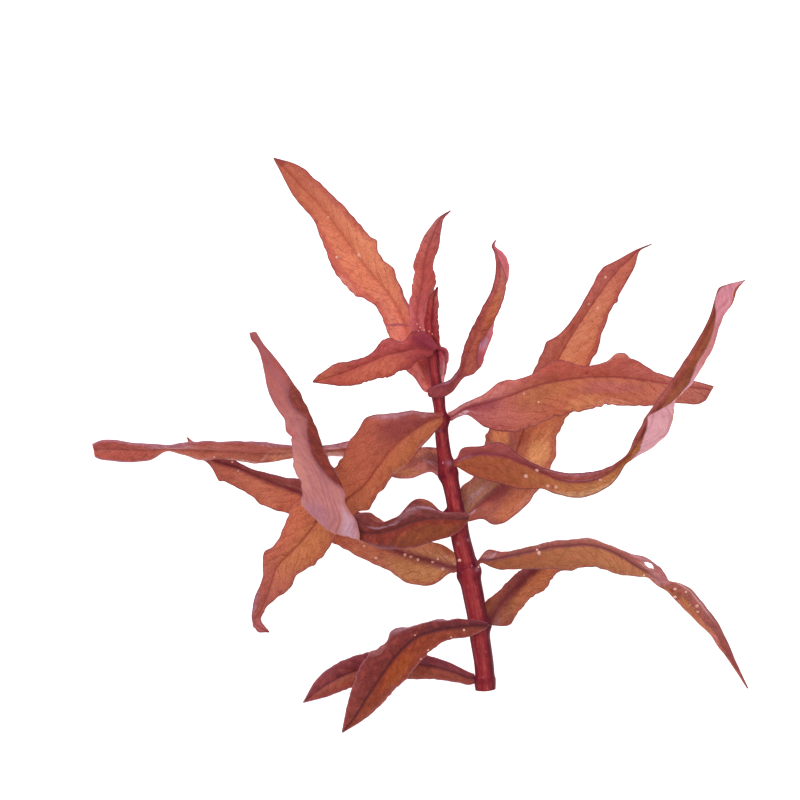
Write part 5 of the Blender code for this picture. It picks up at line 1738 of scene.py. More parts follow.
LEAF_5_LEFT = Blade(
    "leaf_5_left",
    "young_leaf",
    BladeFinish(
        left=Tones((215, 134, 120), (190, 106, 84), (188, 92, 78)),
        right=Tones((238, 158, 128), (191, 99, 85), (170, 84, 75)),
        under=Tones((205, 135, 135), (210, 140, 130), (200, 120, 110)),
        midrib=(132, 56, 60),
        vein=(146, 58, 48),
        midrib_strength=0.25,
        line_strength=0.12,
        # The lilac rim is painted sheen along the margins
        rim=(176, 120, 146),
        rim_width=0.5,
        patches=(
            Patch((190, 128, 124), 0.86, 0.85, (0.14, 0.2), 0.6),
            Patch((244, 184, 168), 0.58, -0.85, (0.06, 0.22), 0.85),
            Patch((230, 150, 116), 0.465, -0.2, (0.045, 1.2), 0.75),
            Patch((232, 170, 152), 0.51, -0.1, (0.007, 0.8), 0.45, slant=-0.02),
            Patch((222, 146, 130), 0.31, -0.4, (0.06, 0.9), 0.7),
            Patch((196, 116, 90), 0.46, 0.2, (0.04, 0.7), 0.6),
            Patch((206, 120, 96), 0.3, -0.8, (0.1, 0.5), 0.6),
            Patch((112, 44, 70), 0.04, 0.3, (0.06, 0.5), 0.7),
            # Painted highlight: lilac along the midrib by the stem
            Patch((206, 160, 178), 0.05, -0.1, (0.05, 0.12), 0.6),
            # Painted sheen: lilac on the right half near the tip
            Patch((190, 140, 160), 0.78, 0.6, (0.08, 0.6), 0.5),
            # Painted light: these two pale patches lift the shade that falls on this strip, the second one
            # lilac sheen
            Patch((250, 216, 204), 0.32, -0.5, (0.045, 0.45), 0.85),
            Patch((238, 190, 204), 0.315, 0.65, (0.05, 0.5), 0.85),
            # Painted sheen: lilac along the right margin
            Patch((200, 142, 150), 0.5, 0.9, (0.07, 0.22), 0.65),
            Patch((214, 142, 124), 0.461, -0.2, (0.02, 0.5), 0.6),
            Patch((228, 150, 108), 0.115, -0.75, (0.05, 0.3), 0.75),
            Patch((140, 62, 70), 0.045, -0.35, (0.025, 0.35), 0.7),
            # Painted highlight: a thin lilac line along the fold near the base
            Patch((210, 154, 168), 0.079, -0.1, (0.007, 0.35), 0.75, slant=0.12),
        ),
    ),
    (
        (4.7, -7.0, 8.1, 5.2, -4.6, 8.4, 4.4, -1.2, 8.9),
        (2.2, -5.4, 8.0, 2.4, -3.2, 8.6, 2.0, -0.4, 9.2),
        (-1.6, -6.6, 7.4, -0.6, -2.6, 8.6, -1.2, -0.6, 9.5),
        (-5.6, -6.4, 6.8, -5.0, -2.0, 8.3, -5.0, -0.4, 9.5),
        (-10.4, -4.2, 6.2, -10.0, -1.6, 7.9, -10.0, 0.6, 9.3),
        (-15.4, -2.4, 5.0, -15.0, -0.8, 7.0, -14.4, 0.8, 8.8),
        (-19.2, -2.6, 4.4, -19.6, -1.0, 6.4, -19.6, 0.0, 8.4),
        (-24.0, -2.4, 3.8, -24.0, -1.2, 5.8, -24.0, -0.4, 8.0),
        (-29.0, -3.3, 3.3, -28.6, -1.6, 5.2, -28.4, 0.1, 7.8),
        (-33.6, -3.5, 2.8, -33.0, -1.5, 4.7, -33.0, 0.6, 7.6),
        (-38.4, -2.9, 2.6, -38.0, -1.2, 4.3, -38.0, 0.8, 7.4),
        (-43.2, -2.8, 2.4, -43.0, -1.0, 3.9, -43.0, 0.8, 6.8),
        (-47.4, -2.0, 2.2, -47.0, -0.8, 3.5, -46.8, 0.5, 5.8),
        (-50.6, -1.2, 1.7, -50.6, -0.6, 2.9, -50.4, 0.0, 4.4),
        (-54.0, -2.6, 1.0, -54.0, -1.0, 2.0, -54.0, 0.2, 3.2),
        (-58.0, -3.4, 0.5, -58.0, -1.0, 1.3, -58.0, 0.5, 2.3),
        (-61.8, -3.2, 0.3, -61.6, -0.9, 0.8, -61.6, 1.1, 1.6),
        (-64.4, -2.8, 0.3, -64.3, -0.9, 0.5, -64.4, 0.8, 1.0),
        (-65.2, -2.4, 0.3, -65.4, -1.0, 0.4, -65.7, 0.2, 0.7),
    ),
    waves=3.0,
    wave_height=0.2,
    left_lobes=(Lobe(0.46, 0.03, -0.4), Lobe(0.84, 0.04, 0.4), Lobe(0.7, 0.03, 0.6)),
    right_lobes=(Lobe(0.725, 0.012, 0.5), Lobe(0.66, 0.02, 0.3)),
    seed=51,
)

LEAF_5_RIGHT = Blade(
    "leaf_5_right",
    "shaded_leaf",
    BladeFinish(
        left=Tones((158, 74, 76), (176, 92, 84), (152, 74, 50)),
        right=Tones((164, 83, 49), (192, 126, 74), (156, 74, 48)),
        under=Tones((200, 130, 130), (230, 166, 174), (228, 146, 158)),
        midrib=(132, 46, 58),
        vein=(142, 60, 46),
        under_vein=(168, 92, 112),
        midrib_strength=0.55,
        midrib_end=0.42,
        patches=(
            Patch((212, 162, 118), 0.35, 0.95, (0.12, 0.35)),
            # Painted sheen: lilac near the left margin
            Patch((190, 132, 152), 0.3, -0.85, (0.14, 0.25), 0.5),
            Patch((192, 116, 60), 0.48, -0.1, (0.05, 0.8), 0.65),
            # Painted highlight: lilac beside the midrib
            Patch((196, 142, 166), 0.33, -0.16, (0.09, 0.09)),
            Patch((150, 84, 116), 0.07, 0.0, (0.08, 0.14), 0.6),
            # Painted highlight: a lilac line along the ridge at the base
            Patch((208, 166, 188), 0.025, 0.0, (0.03, 0.14), 0.65),
            Patch((204, 112, 92), 0.8, 0.7, (0.1, 0.5), 0.6, Face.UNDER),
            Patch((144, 68, 46), 0.7, 0.2, (0.1, 1.0), 0.7),
            Patch((206, 116, 132), 0.97, 0.0, (0.05, 0.5), 0.5, Face.UNDER),
            Patch((212, 146, 124), 0.485, 0.4, (0.02, 0.3), 0.6),
            Patch((232, 140, 144), 0.865, 0.3, (0.035, 0.4), 0.6, Face.UNDER),
            Patch((180, 86, 56), 0.775, 0.1, (0.03, 0.8), 0.5),
        ),
    ),
    (
        (7.2, -2.7, 13.1, 7.1, -3.3, 12.9, 7.2, -3.8, 12.8, 7.4, -4.4, 12.6),
        (8.2, -0.8, 13.8, 9.2, -2.3, 13.4, 9.6, -4.0, 13.2, 9.8, -5.8, 12.8),
        (12.0, -0.2, 14.6, 12.6, -1.6, 13.6, 13.2, -4.2, 13.3, 13.6, -7.1, 12.6),
        (16.2, 0.5, 14.8, 16.4, -2.0, 13.6, 16.4, -4.8, 13.2, 16.4, -7.8, 12.4),
        (21.0, -2.7, 14.6, 20.4, -3.5, 13.4, 20.0, -6.0, 13.0, 19.8, -8.8, 12.4),
        (25.8, -4.8, 14.3, 25.4, -5.9, 13.0, 25.0, -7.2, 13.0, 24.4, -8.8, 13.2),
        (28.6, -5.5, 14.5, 28.4, -7.0, 13.1, 28.2, -8.6, 13.0, 28.0, -10.1, 13.6),
        (31.8, -5.6, 14.9, 32.0, -7.3, 13.5, 32.2, -9.0, 13.4, 32.4, -10.5, 14.1),
        (35.2, -5.2, 15.5, 35.6, -6.6, 14.1, 36.2, -8.0, 14.0, 36.8, -8.9, 14.7),
        (37.6, -4.4, 16.0, 38.2, -5.2, 14.9, 38.9, -6.0, 14.6, 39.4, -6.7, 15.1),
        (39.6, -3.2, 16.4, 40.1, -3.6, 15.7, 40.8, -3.8, 15.5, 40.9, -4.0, 16.6),
        (41.4, -1.5, 16.8, 42.3, -1.5, 16.5, 43.6, -2.0, 16.6, 43.2, -1.6, 17.7),
        (42.7, 1.3, 17.2, 44.4, 1.3, 16.9, 47.0, 0.2, 17.2, 44.4, 1.3, 18.6),
        (44.3, 4.2, 17.6, 46.2, 4.2, 17.4, 49.6, 3.2, 17.8, 45.3, 4.3, 19.2),
        (44.9, 5.5, 17.7, 46.9, 5.5, 17.5, 50.2, 5.0, 17.9, 45.3, 5.6, 19.3),
        (46.0, 7.1, 17.8, 47.8, 6.9, 17.7, 50.5, 6.6, 18.1, 47.5, 6.9, 19.3),
        (48.0, 9.9, 18.1, 49.6, 9.5, 18.0, 51.0, 9.0, 18.2, 50.2, 8.5, 19.2),
        (50.2, 12.9, 18.4, 52.0, 12.6, 18.3, 53.9, 12.0, 18.5, 53.6, 12.2, 19.5),
        (52.2, 16.1, 18.7, 54.0, 15.9, 18.7, 56.2, 15.7, 18.9, 55.0, 16.0, 20.0),
        (54.5, 19.6, 19.1, 56.0, 19.4, 19.1, 58.2, 19.2, 19.4, 57.1, 19.6, 20.4),
        (57.9, 26.0, 19.7, 58.9, 26.0, 19.8, 60.6, 26.0, 20.2, 58.9, 26.2, 21.1),
        (58.9, 29.0, 19.9, 60.2, 28.8, 19.9, 62.4, 28.6, 20.4, 58.8, 29.4, 21.3),
        (60.4, 31.2, 20.0, 61.6, 30.9, 20.1, 63.1, 30.7, 20.5, 60.2, 31.5, 21.2),
        (64.8, 32.9, 20.7),
    ),
    places=(-1.0, 0.0, 0.55, 0.65, 1.0),
    creased=True,
    waves=3.0,
    wave_height=0.1,
    ripple_height=0.05,
    bulge=0.015,
    vein_spacing=3.2,
    left_lobes=(Lobe(0.955, 0.022, 0.8),),
    seed=52,
)

LEAF_6_LEFT = Blade(
    "leaf_6_left",
    "folded_leaf",
    BladeFinish(
        left=Tones((140, 51, 32), (128, 48, 38), (150, 74, 62)),
        right=Tones((134, 64, 62), (118, 46, 42), (150, 76, 72)),
        under=Tones((208, 138, 130), (197, 124, 120), (178, 86, 80)),
        midrib=(84, 32, 38),
        vein=(92, 36, 34),
        under_vein=(162, 96, 108),
        # The lilac rim is painted sheen along the margins
        rim=(150, 104, 124),
        rim_strength=0.4,
        patches=(
            Patch((150, 82, 44), 0.14, -0.7, (0.12, 0.5), 0.6),
            Patch((180, 98, 68), 0.115, 0.95, (0.04, 0.3), 0.7),
            # Painted highlight: lilac along the ridge
            Patch((190, 146, 166), 0.12, 0.6, (0.09, 0.08), 0.65),
            # Painted highlight: lilac further along the ridge
            Patch((180, 136, 156), 0.25, 0.38, (0.06, 0.1), 0.6),
            # Painted highlight: grey lilac by the fold
            Patch((150, 104, 120), 0.27, -0.95, (0.07, 0.14), 0.5),
            # Painted highlight: a thin lilac line
            Patch((150, 112, 128), 0.6, -0.62, (0.12, 0.06), 0.6),
            # Painted highlight: pale lilac on the under face
            Patch((208, 166, 186), 0.43, -0.6, (0.08, 0.4), 0.7, Face.UNDER),
            Patch((176, 116, 134), 0.42, 0.5, (0.06, 0.55), 0.6, Face.UNDER),
            Patch((212, 138, 126), 0.56, 0.8, (0.08, 0.3), 0.6, Face.UNDER),
            Patch((190, 84, 92), 0.685, 1.0, (0.03, 0.4), 0.7, Face.UNDER),
            # Painted shade: dark lines in the creases of the under face, in this and the next patch
            Patch((132, 76, 86), 0.45, -0.2, (0.07, 0.03), 0.6, Face.UNDER),
            Patch((150, 88, 88), 0.52, 0.2, (0.1, 0.02), 0.5, Face.UNDER),
            Patch((160, 74, 72), 0.96, 0.3, (0.1, 1.4), 0.6, Face.UNDER),
            Patch((160, 76, 70), 0.985, 0.0, (0.03, 1.0), 0.7, Face.UNDER),
            # Painted sheen: lilac on the upper face
            Patch((164, 110, 118), 0.18, 0.55, (0.05, 0.25), 0.6),
        ),
    ),
    (
        (9.3, -15.4, 11.4, 9.5, -15.0, 11.5, 9.7, -14.6, 11.6, 9.8, -14.3, 11.6, 9.8, -14.0, 11.5),
        (8.3, -16.8, 11.6, 8.3, -15.7, 11.9, 8.2, -14.8, 12.0, 8.0, -14.1, 12.1, 7.8, -13.5, 11.9),
        (6.3, -18.2, 11.9, 6.0, -16.4, 12.3, 5.6, -14.6, 12.4, 5.4, -13.8, 12.5, 5.2, -13.2, 12.3),
        (3.2, -19.1, 12.2, 2.6, -16.8, 12.9, 2.0, -14.6, 13.0, 1.6, -13.0, 13.5, 2.0, -11.2, 12.5),
        (-0.4, -20.2, 12.6, -1.0, -17.8, 13.5, -1.6, -15.3, 13.6, -1.8, -13.3, 14.3, -1.1, -10.9, 12.8),
        (-4.4, -20.8, 12.9, -4.8, -18.8, 14.3, -5.2, -16.7, 14.2, -5.3, -15.5, 15.0, -5.0, -14.7, 14.4),
        (-8.0, -20.6, 13.3, -8.4, -19.1, 14.8, -8.8, -17.6, 14.6, -9.0, -16.2, 15.3, -9.0, -15.2, 14.9),
        (-9.5, -20.1, 13.8, -10.0, -18.9, 14.8, -10.6, -17.5, 14.7, -11.0, -15.7, 15.1, -10.7, -13.5, 14.9),
        (-10.9, -19.4, 14.3, -11.6, -18.6, 14.9, -12.6, -17.4, 14.8, -13.6, -15.9, 15.1, -14.2, -14.4, 15.0),
        (-11.3, -19.2, 15.0, -12.7, -18.7, 15.3, -14.9, -17.8, 15.4, -17.2, -16.1, 15.5, -19.2, -13.8, 15.5),
        (-12.0, -18.7, 15.9, -14.2, -18.1, 16.1, -18.0, -17.1, 16.2, -20.9, -14.9, 16.2, -23.7, -11.9, 16.2),
        (-12.5, -15.8, 17.2, -14.2, -15.6, 17.5, -17.0, -14.8, 17.7, -20.4, -12.8, 17.6, -23.6, -10.3, 17.3),
        (-14.9, -11.4, 17.7, -16.0, -11.2, 18.0, -18.2, -10.2, 18.3, -20.8, -9.0, 18.1, -23.6, -8.0, 17.7),
        (-15.3, -8.8, 18.8, -15.8, -9.1, 18.3, -18.7, -8.3, 18.6, -21.3, -7.3, 18.4, -24.0, -6.6, 17.9),
        (-17.3, -7.3, 19.4, -16.1, -7.4, 18.6, -19.4, -6.4, 18.8, -21.9, -5.5, 18.6, -24.4, -5.0, 18.1),
        (-20.9, -3.1, 20.3, -17.9, -4.0, 19.0, -20.9, -3.2, 19.0, -23.2, -2.6, 18.8, -25.4, -2.2, 18.3),
        (-22.3, 0.4, 20.5, -19.6, -0.2, 19.4, -22.5, 0.3, 19.2, -24.1, 0.8, 19.0, -25.7, 1.0, 18.5),
        (-22.7, 3.6, 20.5, -20.9, 3.4, 19.6, -23.6, 3.4, 19.2, -25.1, 3.2, 18.9, -26.6, 2.8, 18.5),
        (-22.6, 5.2, 20.1, -21.7, 5.2, 19.6, -24.4, 5.2, 19.2, -25.9, 5.0, 18.9, -27.2, 4.6, 18.5),
        (-25.2, 7.4, 20.3, -22.8, 7.6, 19.5, -25.9, 7.8, 19.0, -27.3, 7.4, 18.7, -28.6, 7.2, 18.5),
        (-26.4, 10.6, 20.1, -24.4, 10.8, 19.3, -27.3, 11.2, 18.8, -28.8, 10.8, 18.6, -30.2, 10.4, 18.5),
        (-26.0, 12.9, 19.6, -25.8, 12.7, 19.1, -28.4, 13.4, 18.6, -29.7, 13.0, 18.5, -30.8, 12.8, 18.4),
        (-27.2, 14.9, 19.3, -27.3, 14.9, 18.9, -29.2, 15.2, 18.5, -30.2, 15.0, 18.4, -31.2, 14.8, 18.3),
        (-28.9, 17.4, 19.0, -29.2, 17.4, 18.7, -30.4, 17.5, 18.4, -31.0, 17.4, 18.3, -31.7, 17.2, 18.2),
        (-31.0, 19.9, 18.6, -31.3, 19.9, 18.4, -31.8, 19.9, 18.2, -32.2, 19.9, 18.2, -32.6, 19.9, 18.2),
        (-32.7, 22.6, 18.2, -33.0, 22.6, 18.1, -33.3, 22.6, 18.1, -33.7, 22.5, 18.1, -34.0, 22.5, 18.1),
    ),
    places=(-1.0, -0.6, 0.0, 0.5, 1.0),
    waves=3.0,
    wave_height=0.0,
    ripple_height=0.03,
    bulge=0.01,
    vein_spacing=3.2,
    left_lobes=(Lobe(0.855, 0.008, 0.5),),
    right_lobes=(
        Lobe(0.085, 0.02, -0.6), Lobe(0.235, 0.025, 0.4), Lobe(0.56, 0.03, 0.8),
        Lobe(0.672, 0.008, -0.5), Lobe(0.7, 0.012, 0.25), Lobe(0.735, 0.018, -0.35),
        Lobe(0.975, 0.02, 0.6),
    ),
    seed=61,
)

LEAF_6_RIGHT = Blade(
    "leaf_6_right",
    "old_leaf",
    BladeFinish(
        left=Tones((166, 116, 94), (185, 106, 92), (184, 93, 87)),
        right=Tones((166, 92, 78), (224, 142, 102), (195, 103, 84)),
        under=Tones((205, 150, 130), (210, 155, 125), (200, 125, 105)),
        midrib=(142, 54, 48),
        vein=(160, 76, 52),
        midrib_width=0.6,
        patches=(
            Patch((118, 44, 58), 0.13, 0.05, (0.11, 0.3)),
            Patch((110, 46, 58), 0.075, -0.1, (0.06, 0.14), 0.6),
            # Painted highlight: lilac by the petiole, in this and the next patch
            Patch((210, 180, 196), 0.02, 0.1, (0.02, 0.14), 0.6),
            Patch((178, 138, 150), 0.06, -0.45, (0.05, 0.12), 0.5),
            # Partly golden tissue, partly painted light: these bright patches lift the shade cast by the leaf
            # above
            Patch((244, 170, 112), 0.29, -0.6, (0.05, 0.35), 0.75),
            Patch((248, 180, 118), 0.29, 0.55, (0.07, 0.35)),
            Patch((216, 128, 84), 0.14, 0.75, (0.08, 0.4), 0.6),
            Patch((172, 72, 66), 0.8, -1.0, (0.3, 0.35), 0.55),
            Patch((176, 76, 74), 0.72, 1.0, (0.34, 0.25), 0.6),
            Patch((184, 94, 72), 0.66, -0.5, (0.14, 0.5), 0.6),
            # Partly golden tissue, partly painted light that lifts the shade of the leaf above
            Patch((244, 162, 112), 0.35, 0.6, (0.05, 0.4), 0.7),
            Patch((226, 148, 122), 0.17, 0.95, (0.05, 0.2), 0.6),
        ),
    ),
    (
        (8.5, -11.6, 7.4, 9.3, -13.9, 8.3, 9.4, -15.3, 7.9),
        (8.1, -8.8, 6.6, 12.0, -12.0, 7.2, 12.6, -14.6, 7.8),
        (10.6, -6.6, 5.4, 15.0, -9.8, 5.8, 15.6, -15.9, 6.2),
        (12.2, -3.4, 4.2, 17.2, -7.2, 4.2, 20.6, -12.8, 4.4),
        (13.0, -0.2, 3.2, 18.4, -4.2, 2.8, 24.2, -8.4, 2.8),
        (13.3, 2.2, 2.4, 19.4, -1.0, 1.7, 27.0, -2.8, 1.7),
        (15.0, 4.8, 1.8, 20.8, 3.0, 0.9, 27.4, 2.0, 1.0),
        (18.4, 8.4, 1.3, 22.4, 6.8, 0.5, 29.2, 5.0, 0.8),
        (21.6, 13.0, 0.9, 24.6, 11.2, 0.3, 31.2, 8.8, 0.8),
        (24.3, 18.2, 0.8, 27.4, 16.6, 0.3, 32.9, 13.6, 0.7),
        (28.0, 22.2, 0.6, 29.8, 21.0, 0.3, 35.3, 18.2, 0.8),
        (30.9, 25.8, 0.5, 32.4, 25.0, 0.3, 36.6, 23.0, 0.9),
        (33.3, 29.8, 0.5, 34.8, 28.6, 0.3, 38.2, 27.0, 0.7),
        (35.7, 34.2, 0.6, 37.4, 32.2, 0.3, 40.0, 30.2, 0.7),
        (37.8, 36.0, 0.7, 39.8, 35.2, 0.4, 41.8, 33.4, 0.7),
        (40.8, 37.8, 0.8, 42.0, 37.2, 0.6, 43.2, 36.2, 0.9),
        (43.2, 39.1, 1.0, 43.6, 38.9, 0.9, 43.9, 38.6, 1.0),
        (46.4, 40.2, 1.3),
    ),
    waves=5.0,
    vein_spacing=4.2,
    vein_lean=1.7,
    left_lobes=(
        Lobe(0.525, 0.015, -0.3), Lobe(0.593, 0.017, 0.9), Lobe(0.797, 0.014, -0.25),
        Lobe(0.865, 0.025, 0.4),
    ),
    right_lobes=(
        Lobe(0.065, 0.02, 0.55), Lobe(0.2, 0.014, -0.4), Lobe(0.355, 0.013, 0.3),
        Lobe(0.6, 0.02, -0.35), Lobe(0.71, 0.02, 0.25), Lobe(0.8, 0.012, 0.5),
    ),
    seed=62,
)

LEAF_7_LEFT = Blade(
    "leaf_7_left",
    "old_leaf",
    BladeFinish(
        left=Tones((190, 118, 87), (212, 122, 91), (174, 91, 77)),
        right=Tones((217, 147, 104), (174, 104, 100), (146, 64, 72)),
        under=Tones((205, 145, 125), (205, 135, 120), (195, 115, 105)),
        midrib=(120, 40, 50),
        vein=(150, 66, 46),
        midrib_width=1.7,
        midrib_strength=0.8,
        patches=(
            Patch((204, 142, 84), 0.14, -0.55, (0.14, 0.5), 0.6),
            Patch((120, 46, 52), 0.66, 0.75, (0.26, 0.5), 0.7),
            # Painted highlight: lilac by the base
            Patch((178, 122, 140), 0.045, -0.15, (0.05, 0.12), 0.6),
            # Painted sheen: lilac at the right margin
            Patch((166, 116, 132), 0.62, 0.98, (0.16, 0.14), 0.6),
            Patch((226, 150, 130), 1.0, 0.0, (0.03, 1.6)),
        ),
    ),
    (
        (6.9, -25.7, 6.0, 7.1, -24.6, 6.1, 6.6, -21.3, 5.6),
        (5.0, -26.2, 5.3, 5.0, -24.0, 5.5, 4.8, -20.1, 5.1),
        (2.4, -28.0, 4.1, 2.0, -23.2, 4.7, 1.6, -19.2, 4.4),
        (-2.4, -27.6, 3.1, -1.8, -22.1, 3.8, -2.4, -17.4, 3.6),
        (-6.2, -25.3, 2.2, -5.6, -20.8, 2.9, -6.4, -15.8, 3.0),
        (-10.4, -23.3, 1.4, -9.6, -19.0, 2.0, -9.8, -13.7, 2.5),
        (-15.0, -20.8, 0.8, -14.0, -16.6, 1.2, -13.6, -13.2, 2.0),
        (-19.6, -17.6, 0.4, -18.8, -13.2, 0.6, -18.2, -9.8, 1.5),
        (-24.4, -14.4, 0.3, -23.6, -9.8, 0.3, -23.2, -7.0, 1.2),
        (-29.6, -12.6, 0.4, -28.0, -8.2, 0.3, -27.4, -6.3, 1.2),
        (-33.6, -10.0, 0.4, -32.4, -6.4, 0.3, -31.8, -5.2, 1.2),
        (-37.6, -8.1, 0.5, -36.4, -4.6, 0.3, -35.6, -3.8, 1.1),
        (-40.6, -6.0, 0.5, -40.6, -3.4, 0.3, -39.6, -1.4, 0.8),
        (-42.8, -3.4, 0.4, -42.9, -1.9, 0.3, -42.6, -0.2, 0.6),
        (-45.6, -2.2, 0.3, -45.6, -0.8, 0.3, -45.2, 0.6, 0.5),
        (-46.6, 1.5, 0.5),
    ),
    wave_height=0.25,
    vein_lean=1.7,
    left_lobes=(
        Lobe(0.025, 0.015, -0.4), Lobe(0.06, 0.02, 0.35), Lobe(0.43, 0.03, 0.45),
        Lobe(0.69, 0.035, 0.75), Lobe(0.855, 0.018, 1.0),
    ),
    right_lobes=(Lobe(0.64, 0.04, -0.25),),
    seed=71,
)

LEAF_7_RIGHT = Blade(
    "leaf_7_right",
    "old_leaf",
    BladeFinish(
        left=Tones((158, 90, 80), (170, 98, 88), (156, 86, 84)),
        right=Tones((158, 91, 57), (192, 123, 83), (232, 136, 114)),
        under=Tones((200, 140, 150), (205, 150, 160), (195, 115, 115)),
        midrib=(112, 48, 62),
        vein=(146, 66, 46),
        midrib_width=0.8,
        midrib_strength=0.6,
        midrib_end=0.55,
        line_strength=0.6,
        patches=(
            # Painted sheen: lilac along the left margin
            Patch((186, 128, 146), 0.45, -0.85, (0.14, 0.35), 0.6),
            # Painted sheen: lilac on the left half
            Patch((182, 138, 156), 0.24, -0.5, (0.14, 0.3), 0.5),
            # Painted highlight: pale lilac close to the left margin
            Patch((214, 176, 188), 0.69, -0.72, (0.12, 0.1), 0.6),
            Patch((186, 112, 62), 0.66, 0.1, (0.1, 0.35), 0.6),
            Patch((136, 50, 54), 0.6, 0.95, (0.12, 0.3), 0.6),
            Patch((142, 54, 60), 0.88, -0.1, (0.08, 0.9), 0.4),
            Patch((232, 146, 138), 0.825, 0.35, (0.03, 0.65), 0.85),
            Patch((112, 50, 62), 0.12, -0.7, (0.12, 0.12), 0.5),
            # Painted sheen: lilac along the left margin near the base
            Patch((190, 142, 160), 0.18, -0.92, (0.12, 0.12), 0.6),
            Patch((136, 46, 56), 0.62, 0.1, (0.012, 0.3), 0.7),
            Patch((118, 44, 66), 0.645, 0.3, (0.016, 0.6), 0.6),
            Patch((204, 136, 146), 0.57, -0.1, (0.04, 1.0), 0.65),
            # Painted highlight: a pale lilac band on the left half
            Patch((214, 178, 192), 0.34, -0.5, (0.13, 0.18), 0.75),
            # Painted highlight: a thin lilac line at the base
            Patch((208, 160, 172), 0.02, -0.4, (0.01, 0.45), 0.75, slant=-0.07),
            Patch((88, 32, 50), 0.0, 0.0, (0.024, 1.6)),
            Patch((208, 150, 152), 0.52, -0.45, (0.04, 0.3), 0.6),
            Patch((190, 134, 130), 0.04, -0.7, (0.03, 0.35), 0.6),
            Patch((192, 132, 130), 0.88, 0.8, (0.03, 0.3), 0.5),
        ),
    ),
    (
        (11.5, -23.2, 9.0, 11.5, -23.4, 9.1, 11.5, -23.7, 9.1, 11.6, -24.1, 8.9),
        (12.1, -22.4, 9.2, 12.1, -22.8, 9.5, 12.1, -23.1, 9.5, 12.2, -23.6, 9.2),
        (13.4, -21.0, 9.6, 14.4, -22.3, 10.3, 14.4, -22.9, 10.1, 14.4, -24.4, 9.6),
        (17.2, -21.6, 10.0, 17.6, -21.7, 11.1, 17.8, -22.2, 11.4, 18.0, -24.8, 10.4),
        (21.2, -21.1, 10.6, 21.5, -20.9, 11.8, 21.7, -21.4, 12.25, 22.4, -24.8, 11.0),
        (26.0, -20.1, 11.0, 26.3, -19.8, 12.4, 26.5, -20.4, 12.9, 27.2, -24.8, 11.4),
        (30.4, -19.2, 11.6, 30.4, -19.4, 12.5, 30.5, -20.0, 13.0, 31.0, -25.2, 11.6),
        (34.0, -18.5, 11.3, 34.0, -19.2, 12.2, 34.0, -20.0, 12.8, 33.8, -24.3, 11.6),
        (37.6, -20.0, 10.9, 37.6, -20.4, 11.9, 37.4, -20.9, 12.4, 36.4, -24.8, 11.0),
        (41.2, -21.4, 10.2, 40.7, -21.8, 11.2, 40.3, -22.3, 11.8, 39.6, -25.8, 10.3),
        (45.0, -22.6, 9.2, 43.9, -23.4, 10.3, 43.1, -24.1, 10.8, 42.4, -26.3, 9.7),
        (48.6, -25.0, 8.2, 47.0, -25.4, 9.0, 46.1, -25.9, 9.4, 45.6, -26.7, 8.8),
        (49.8, -27.0, 7.5, 49.2, -27.2, 8.5, 48.4, -27.7, 8.5, 47.6, -28.3, 7.9),
        (52.6, -27.9, 6.8, 52.0, -28.5, 7.5, 51.2, -29.4, 7.4, 50.2, -30.2, 6.8),
        (55.5, -30.4, 5.8, 54.7, -31.0, 6.4, 53.8, -31.8, 6.2, 52.6, -32.6, 5.5),
        (58.1, -33.8, 4.5, 57.3, -34.4, 5.0, 56.4, -35.0, 4.8, 55.4, -35.6, 4.1),
        (60.3, -37.0, 3.2, 59.6, -37.4, 3.6, 59.0, -37.8, 3.4, 58.4, -38.3, 2.9),
        (62.0, -40.3, 2.0, 61.2, -40.5, 2.3, 60.6, -40.7, 2.2, 59.9, -40.9, 1.8),
        (63.3, -43.4, 1.0, 63.0, -43.5, 1.2, 62.6, -43.6, 1.1, 62.2, -43.7, 0.8),
        (64.7, -46.4, 0.4, 64.5, -46.4, 0.5, 64.3, -46.4, 0.5, 64.1, -46.5, 0.4),
        (65.7, -48.8, 0.3),
    ),
    places=(-1.0, -0.55, 0.0, 1.0),
    waves=3.0,
    wave_height=0.1,
    hole=(0.498, 0.532, -0.86, -0.5),
    left_lobes=(Lobe(0.55, 0.01, -0.3), Lobe(0.66, 0.02, 0.4), Lobe(0.76, 0.05, 0.3)),
    right_lobes=(
        Lobe(0.08, 0.02, 0.3), Lobe(0.3, 0.02, -0.5), Lobe(0.61, 0.035, -0.3),
        Lobe(0.735, 0.025, -0.3), Lobe(0.88, 0.02, -0.45),
    ),
    seed=72,
)

